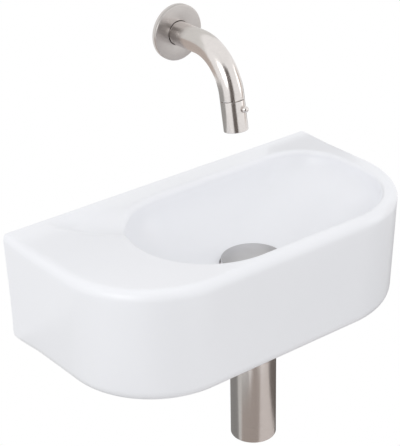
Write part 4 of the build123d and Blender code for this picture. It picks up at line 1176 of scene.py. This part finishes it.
class BASIN_OT_tap(bpy.types.Operator):
    """Make the wall tap: wall plate, bent spout, turning end sleeve, ball-ended lever and its inlet"""

    bl_idname = "basin.tap"
    bl_label = "Wall tap"

    def execute(self, context):
        segments = context.scene.basin_sizes.round_segments
        steel = finish("brushed_steel")
        plate = rounded(
            [(12.15, 0.0), (12.15, -5.5), (27.5, -5.5), (27.5, 0.0)], [0.2, 0.35, 0.9, 0.2], closed=True
        )
        # The wall plate's steel carries painted shade: its colour is made darker than the spout's.
        build(
            "wall_plate", [skin(from_wall(revolve(plate, segments), DRAIN_X, TAP_Z), wrap_rows=True)],
            finish("brushed_steel_plate_painted_shade"), "frame", ["tap_rosette"],
        )
        build(
            "bent_spout", [skin(spout_grid(segments), wrap_rows=True)],
            steel, "frame", ["spout_tube"],
        )
        sleeve_top = SLEEVE_LENGTH - SLEEVE_LINE
        sleeve = rounded(
            [(9.4, -1.1), (SPOUT_R, -1.1), (SPOUT_R, sleeve_top), (8.25, sleeve_top), (8.25, 21.0), (9.4, 21.0)],
            [0.3, 0.7, 0.25, 0.2, 0.2, 0.2], closed=True,
        )
        build(
            "end_collar", [skin(on_end(revolve(sleeve, segments)), wrap_rows=True)],
            steel, "end_sleeve", ["nozzle_sleeve"],
        )
        self.lever(steel)
        self.mouth(steel, segments)
        self.inlet(segments)
        return {"FINISHED"}

    def lever(self, steel):
        """Ball and stem in one turned profile, with a small neck round between them."""
        ball, stem, reach = 3.3, 2.7, 13.4
        a = np.linspace(0, pi * 0.68, 22)
        ball_part = np.stack([ball * np.sin(a), reach + ball * np.cos(a)], axis=1)
        stem_part = rounded(
            [tuple(ball_part[-1]), (stem, reach - ball * 0.86), (stem, SPOUT_R - 0.7), (0.0, SPOUT_R - 0.7)],
            [0, 0.5, 0, 0],
        )
        profile = np.concatenate([ball_part, stem_part[1:]])
        build(
            "lever_ball", [skin(on_end(lever_axis(revolve(profile, 72))))],
            steel, "end_sleeve", ["lever_pin"],
        )

    def mouth(self, steel, segments):
        """Screwed ring in the sleeve's mouth, with a bevelled lip."""
        housing = rounded(
            [(9.3, 0.6), (9.3, 7.1), (7.9, 7.1), (7.9, 1.4), (7.1, 1.4), (7.3, 0.6)],
            [0.3, 0.2, 0.2, 0.1, 0.15, 0.25], closed=True,
        )
        build(
            "jet_ring", [skin(on_end(revolve(housing, segments)), wrap_rows=True)],
            steel, "end_sleeve", ["aerator_housing"],
        )

    def inlet(self, segments):
        """Threaded nipple: spigot, collar on the wall's face, and the pipe thread that goes into the wall."""
        rows = np.linspace(2.4, 27.0, 84)
        turn = np.linspace(0, 2 * pi, segments, endpoint=False)
        threaded = thread(rows[:, None], turn, 10.48, 0.9, 1.814, 2.1, 28.1)
        first = rounded([(6.0, -24.0), (9.65, -24.0), (9.65, 0.1), (11.25, 0.1), (11.25, 2.1), (10.48, 2.1), (10.48, 2.4)],
                        [0, 0.4, 0, 0.3, 0.3, 0, 0])
        last = rounded([(10.48, 27.0), (9.48, 28.1), (6.0, 28.1), (6.0, -24.0)], [0, 0.2, 0.4, 0])
        grid = np.concatenate([
            revolve(first, segments), polar(threaded, rows[:, None]), revolve(last, segments)[1:-1]
        ])
        build(
            "inlet_thread", [skin(from_wall(grid, DRAIN_X, TAP_Z), wrap_rows=True)],
            finish("brass"), "frame", ["inlet_nipple"],
        )


# Wall fixings


class BASIN_OT_fixings(bpy.types.Operator):
    """Make both wall fixings: hanger bolts, bushes, washers and nuts"""

    bl_idname = "basin.fixings"
    bl_label = "Wall fixings"

    def execute(self, context):
        self.bolts()
        segments = 72
        bush = rounded(
            [(5.0, -16.0), (12.0, -16.0), (12.0, -14.0), (7.4, -14.0), (7.4, -0.1), (5.0, -0.1)],
            [0.3, 0.6, 0.4, 0.2, 0.4, 0.3], closed=True,
        )
        washer = rounded([(5.2, -18.0), (11.0, -18.0), (11.0, -16.0), (5.2, -16.0)], [0.2, 0.5, 0.3, 0.2], closed=True)
        turn = np.linspace(0, 2 * pi, 120, endpoint=False)
        hexed = hexagon_radius(17.0, turn)
        corner = 17.0 / sqrt(3)
        heights = np.array([-18.0, -18.0, -18.8, -25.2, -26.0, -26.0, -25.2, -18.8])
        radii = np.stack([
            np.full(120, 5.3), np.minimum(hexed, corner - 0.9), hexed, hexed,
            np.minimum(hexed, corner - 0.9), np.full(120, 5.3), np.full(120, 4.95), np.full(120, 4.95),
        ])
        self.pair("fixing_bushes", revolve(bush, segments), "bush_plastic", "stud_bushes", 40.0)
        self.pair("fixing_washers", revolve(washer, segments), "fixing_steel", "stud_washers", 40.0)
        self.pair("fixing_nuts", polar(radii, heights[:, None]), "fixing_steel", "stud_nuts", 25.0)
        return {"FINISHED"}

    def pair(self, name, grid, slot, node, sharp_deg, closed=True):
        """One shape on both fixings' axes."""
        skins = [skin(from_wall(grid, x, 0.0), wrap_rows=closed) for x in (-100.0, 100.0)]
        build(name, skins, finish(slot), "frame", [node], sharp_deg)

    def bolts(self):
        """Hanger bolt: fine machine thread towards the room, plain shank, and a coarse tapered screw in the wall."""
        turn = np.linspace(0, 2 * pi, 48, endpoint=False)
        machine = np.linspace(-29.0, -14.0, 80)
        coarse = np.linspace(4.0, 54.0, 130)
        point = np.clip((60.0 - coarse) / 9.0, 0.35, 1.0)[:, None]
        fine_r = thread(machine[:, None], turn, 4.9, 0.8, 1.5, -30.5, -14.0)
        coarse_r = thread(coarse[:, None], turn, 5.0, 1.5, 3.8, 4.0, 60.0) * point
        heights = np.concatenate(([-30.0, -30.0], machine, [-13.5, 0.1, 0.1, 3.5], coarse, [58.5, 60.0]))
        radii = np.concatenate([
            np.zeros((1, 48)), np.full((1, 48), 3.9), fine_r, np.full((1, 48), 4.85), np.full((1, 48), 4.85),
            np.full((1, 48), 4.95), np.full((1, 48), 4.95), coarse_r, np.full((1, 48), 0.9), np.zeros((1, 48)),
        ])
        self.pair("hanger_bolts", polar(radii, heights[:, None]), "fixing_steel", "wall_studs", 50.0, closed=False)


# Stage

CAMERA_PLACE = (-0.8027, -1.0914, 0.6742)
CAMERA_RIGHT = (0.7722266, -0.6352541, -0.0108730)
CAMERA_DOWN = (-0.3089667, -0.3605219, -0.8800929)
CAMERA_AHEAD = (0.5551627, 0.6829906, -0.4746770)
LENS_SHIFT = (-0.0680, 0.0965)
FLOOR_LEVEL = -0.62
WARM = (1.05, 0.93, 0.86)
ROSY = (1.03, 0.96, 0.93)
NEUTRAL = (1.0, 1.0, 0.98)
# Cards seen by reflections alone: name, centre, the point they face, size, level and tint
STUDIO_CARDS = (
    ("card_near_camera", (-0.377, -0.703, 0.3), (0.02, -0.114, 0.3), (0.5, 1.36), 0.14, WARM),
    ("card_right", (0.9, -0.32, 0.2), (0.02, -0.11, 0.2), (0.36, 0.6), 0.6, WARM),
    ("card_floor_left", (-0.85, -0.3, -0.612), (-0.85, -0.3, 0.0), (0.3, 0.6), 0.40, NEUTRAL),
    ("card_floor_near", (-0.38, -0.6, -0.612), (-0.38, -0.6, 0.0), (0.64, 1.2), 0.37, WARM),
    ("card_floor_right", (0.27, -0.6, -0.612), (0.27, -0.6, 0.0), (0.66, 1.2), 0.66, ROSY),
    ("card_floor_far_right", (0.82, -0.4, -0.612), (0.82, -0.4, 0.0), (0.44, 0.8), 0.15, WARM),
    ("card_floor_beyond", (1.1, -1.2, -0.613), (1.1, -1.2, 0.0), (1.2, 0.8), 0.48, ROSY),
    ("card_floor_aside", (1.35, -0.4, -0.613), (1.35, -0.4, 0.0), (0.6, 0.8), 0.26, WARM),
    ("card_tap_high", (0.01, -0.003, 0.235), (0.01, -1.0, 0.235), (0.20, 0.08), 0.75, NEUTRAL),
    ("card_tap_low", (0.0, -0.003, 0.165), (0.0, -1.0, 0.165), (0.16, 0.06), 0.52, WARM),
    ("card_tap_left", (-0.06, -0.003, 0.095), (-0.06, -1.0, 0.095), (0.30, 0.07), 0.38, NEUTRAL),
    ("card_tap_right", (0.20, -0.003, 0.085), (0.20, -1.0, 0.085), (0.13, 0.07), 0.15, WARM),
    ("card_wall_right", (0.49, -0.003, -0.38), (0.49, -1.0, -0.38), (0.8, 0.46), 0.12, WARM),
    ("card_wall_behind", (-0.05, -0.004, -0.28), (-0.05, -1.0, -0.28), (0.26, 0.26), 0.25, NEUTRAL),
    ("card_wall_left", (-0.40, -0.003, -0.34), (-0.40, -1.0, -0.34), (0.9, 0.54), 0.6, NEUTRAL),
)


def unseen_card(name, centre, facing, size, level, tint=(1.0, 1.0, 1.0)):
    """Studio card that only reflections see: an even plane of one brightness, turned to a point."""
    half = size[0] / 2, size[1] / 2
    mesh = bpy.data.meshes.new(name)
    corners = [(-half[0], -half[1], 0), (half[0], -half[1], 0), (half[0], half[1], 0), (-half[0], half[1], 0)]
    mesh.from_pydata(corners, [], [(0, 1, 2, 3)])
    card = bpy.data.objects.new(name, mesh)
    bpy.context.scene.collection.objects.link(card)
    direction = Vector(facing) - Vector(centre)
    card.matrix_world = Matrix.Translation(centre) @ direction.to_track_quat("Z", "Y").to_matrix().to_4x4()
    for way in ("camera", "diffuse", "shadow", "transmission", "volume_scatter"):
        setattr(card, f"visible_{way}", False)
    made = bpy.data.materials.new(name)
    made.use_nodes = True
    made.node_tree.nodes.clear()
    w = Wiring(made.node_tree)
    light = w.put("ShaderNodeEmission", Color=tuple(t * level for t in tint), Strength=1.0)
    w.feed(w.put("ShaderNodeOutputMaterial").inputs["Surface"], light.outputs[0])
    mesh.materials.append(made)
    return card


class BASIN_OT_stage(bpy.types.Operator):
    """Make the pale floor, the studio light and the camera"""

    bl_idname = "basin.stage"
    bl_label = "Stage"

    def execute(self, context):
        settings = context.scene.basin_studio
        self.floor()
        self.wall()
        self.world(settings.sky)
        self.lamp("key", (-1.15, -0.5, 0.62), settings.key, 0.7)
        self.lamp("fill", (1.15, -0.6, 0.35), settings.key * 0.6, 0.8)
        self.camera(settings.lens)
        for name, centre, facing, size, level, tint in STUDIO_CARDS:
            unseen_card(name, centre, facing, size, level, tint)
        context.scene.view_settings.view_transform = "Standard"
        return {"FINISHED"}

    def floor(self):
        """Pale floor: white where the camera or a reflection sees it, less the object's own soft shadow."""
        mesh = bpy.data.meshes.new("floor")
        reach = 4.0
        mesh.from_pydata(
            [(x, y, FLOOR_LEVEL) for x, y in ((-reach, -reach), (reach, -reach), (reach, reach), (-reach, reach))],
            [], [(0, 1, 2, 3)],
        )
        floor = bpy.data.objects.new("floor", mesh)
        bpy.context.scene.collection.objects.link(floor)
        made = bpy.data.materials.new("pale_floor")
        made.use_nodes = True
        made.node_tree.nodes.clear()
        w = Wiring(made.node_tree)
        lit = w.put("ShaderNodeBsdfDiffuse", Color=(0.68, 0.68, 0.68))
        white = w.put("ShaderNodeEmission", Color=(1.0, 1.0, 1.0), Strength=1.0)
        path = w.put("ShaderNodeLightPath")
        seen = w.maths("MAXIMUM", path.outputs["Is Camera Ray"], path.outputs["Is Glossy Ray"])
        seen = w.maths("MAXIMUM", seen, path.outputs["Is Transmission Ray"])
        both = w.put("ShaderNodeMixShader", Fac=w.maths("MULTIPLY", seen, 0.96))
        w.feed(both.inputs[1], lit.outputs[0])
        w.feed(both.inputs[2], white.outputs[0])
        w.feed(w.put("ShaderNodeOutputMaterial").inputs["Surface"], both.outputs[0])
        mesh.materials.append(made)

    def wall(self):
        """Wall behind the basin: white from the room's side and clear from behind, and without light of its own."""
        reach, behind = 3.0, 0.0006
        mesh = bpy.data.meshes.new("wall")
        mesh.from_pydata(
            [(x, behind, z) for x, z in ((-reach, FLOOR_LEVEL), (reach, FLOOR_LEVEL), (reach, reach), (-reach, reach))],
            [], [(0, 1, 2, 3)],
        )
        wall = bpy.data.objects.new("wall", mesh)
        bpy.context.scene.collection.objects.link(wall)
        wall.visible_diffuse = wall.visible_shadow = False
        made = bpy.data.materials.new("white_wall")
        made.use_nodes = True
        made.node_tree.nodes.clear()
        w = Wiring(made.node_tree)
        behind_it = w.put("ShaderNodeNewGeometry").outputs["Backfacing"]
        both = w.put("ShaderNodeMixShader", Fac=behind_it)
        w.feed(both.inputs[1], w.put("ShaderNodeEmission", Color=(1.0, 1.0, 1.0), Strength=1.0).outputs[0])
        w.feed(both.inputs[2], w.put("ShaderNodeBsdfTransparent").outputs[0])
        w.feed(w.put("ShaderNodeOutputMaterial").inputs["Surface"], both.outputs[0])
        mesh.materials.append(made)

    def world(self, level):
        """Even light at a plain level, white where the camera or a reflection sees it."""
        world = bpy.data.worlds.new("studio")
        bpy.context.scene.world = world
        world.use_nodes = True
        world.node_tree.nodes.clear()
        w = Wiring(world.node_tree)
        path = w.put("ShaderNodeLightPath")
        seen = w.maths("MAXIMUM", path.outputs["Is Camera Ray"], path.outputs["Is Glossy Ray"])
        seen = w.maths("MAXIMUM", seen, path.outputs["Is Transmission Ray"])
        strength = w.spread(seen, 0.0, 1.0, level, 1.0)
        sky = w.put("ShaderNodeBackground", Color=(1.0, 1.0, 1.0), Strength=strength)
        w.feed(w.put("ShaderNodeOutputWorld").inputs["Surface"], sky.outputs[0])

    def lamp(self, name, place, power, size):
        light = bpy.data.lights.new(name, "AREA")
        light.shape, light.size, light.energy = "DISK", size, power
        lamp = bpy.data.objects.new(name, light)
        bpy.context.scene.collection.objects.link(lamp)
        direction = Vector((0.0, -0.1, 0.0)) - Vector(place)
        lamp.matrix_world = Matrix.Translation(place) @ direction.to_track_quat("-Z", "Y").to_matrix().to_4x4()
        return lamp

    def camera(self, lens):
        data = bpy.data.cameras.new("photo_view")
        data.sensor_width, data.lens = 36.0, lens
        data.shift_x, data.shift_y = LENS_SHIFT
        data.clip_start, data.clip_end = 0.05, 20.0
        camera = bpy.data.objects.new("photo_view", data)
        bpy.context.scene.collection.objects.link(camera)
        axes = Matrix((CAMERA_RIGHT, -Vector(CAMERA_DOWN), -Vector(CAMERA_AHEAD))).transposed()
        camera.matrix_world = Matrix.Translation(CAMERA_PLACE) @ axes.to_4x4()
        bpy.context.scene.camera = camera


class BASIN_PT_panel(bpy.types.Panel):
    """Lists the basin's pieces and settings in the 3D view's sidebar"""

    bl_label = "Hand basin"
    bl_idname = "BASIN_PT_panel"
    bl_space_type = "VIEW_3D"
    bl_region_type = "UI"
    bl_category = "Basin"

    def draw(self, context):
        for settings in (context.scene.basin_sizes, context.scene.basin_colours, context.scene.basin_studio):
            box = self.layout.box()
            for name in settings.__annotations__:
                box.prop(settings, name)
        for operator in OPERATORS:
            self.layout.operator(operator.bl_idname)


SETTINGS = {"basin_sizes": BasinSizes, "basin_colours": BasinColours, "basin_studio": StudioSettings}
OPERATORS = (
    BASIN_OT_finishes, BASIN_OT_ceramic, BASIN_OT_waste, BASIN_OT_trap, BASIN_OT_tap, BASIN_OT_fixings,
    BASIN_OT_stage,
)


def register():
    for cls in (*SETTINGS.values(), *OPERATORS, BASIN_PT_panel):
        bpy.utils.register_class(cls)
    for name, cls in SETTINGS.items():
        setattr(bpy.types.Scene, name, PointerProperty(type=cls))


def unregister():
    for name in SETTINGS:
        delattr(bpy.types.Scene, name)
    for cls in reversed((*SETTINGS.values(), *OPERATORS, BASIN_PT_panel)):
        bpy.utils.unregister_class(cls)


def main():
    register()
    for operator in OPERATORS:
        group_name, name = operator.bl_idname.split(".")
        getattr(getattr(bpy.ops, group_name), name)()


if __name__ == "__main__":
    main()
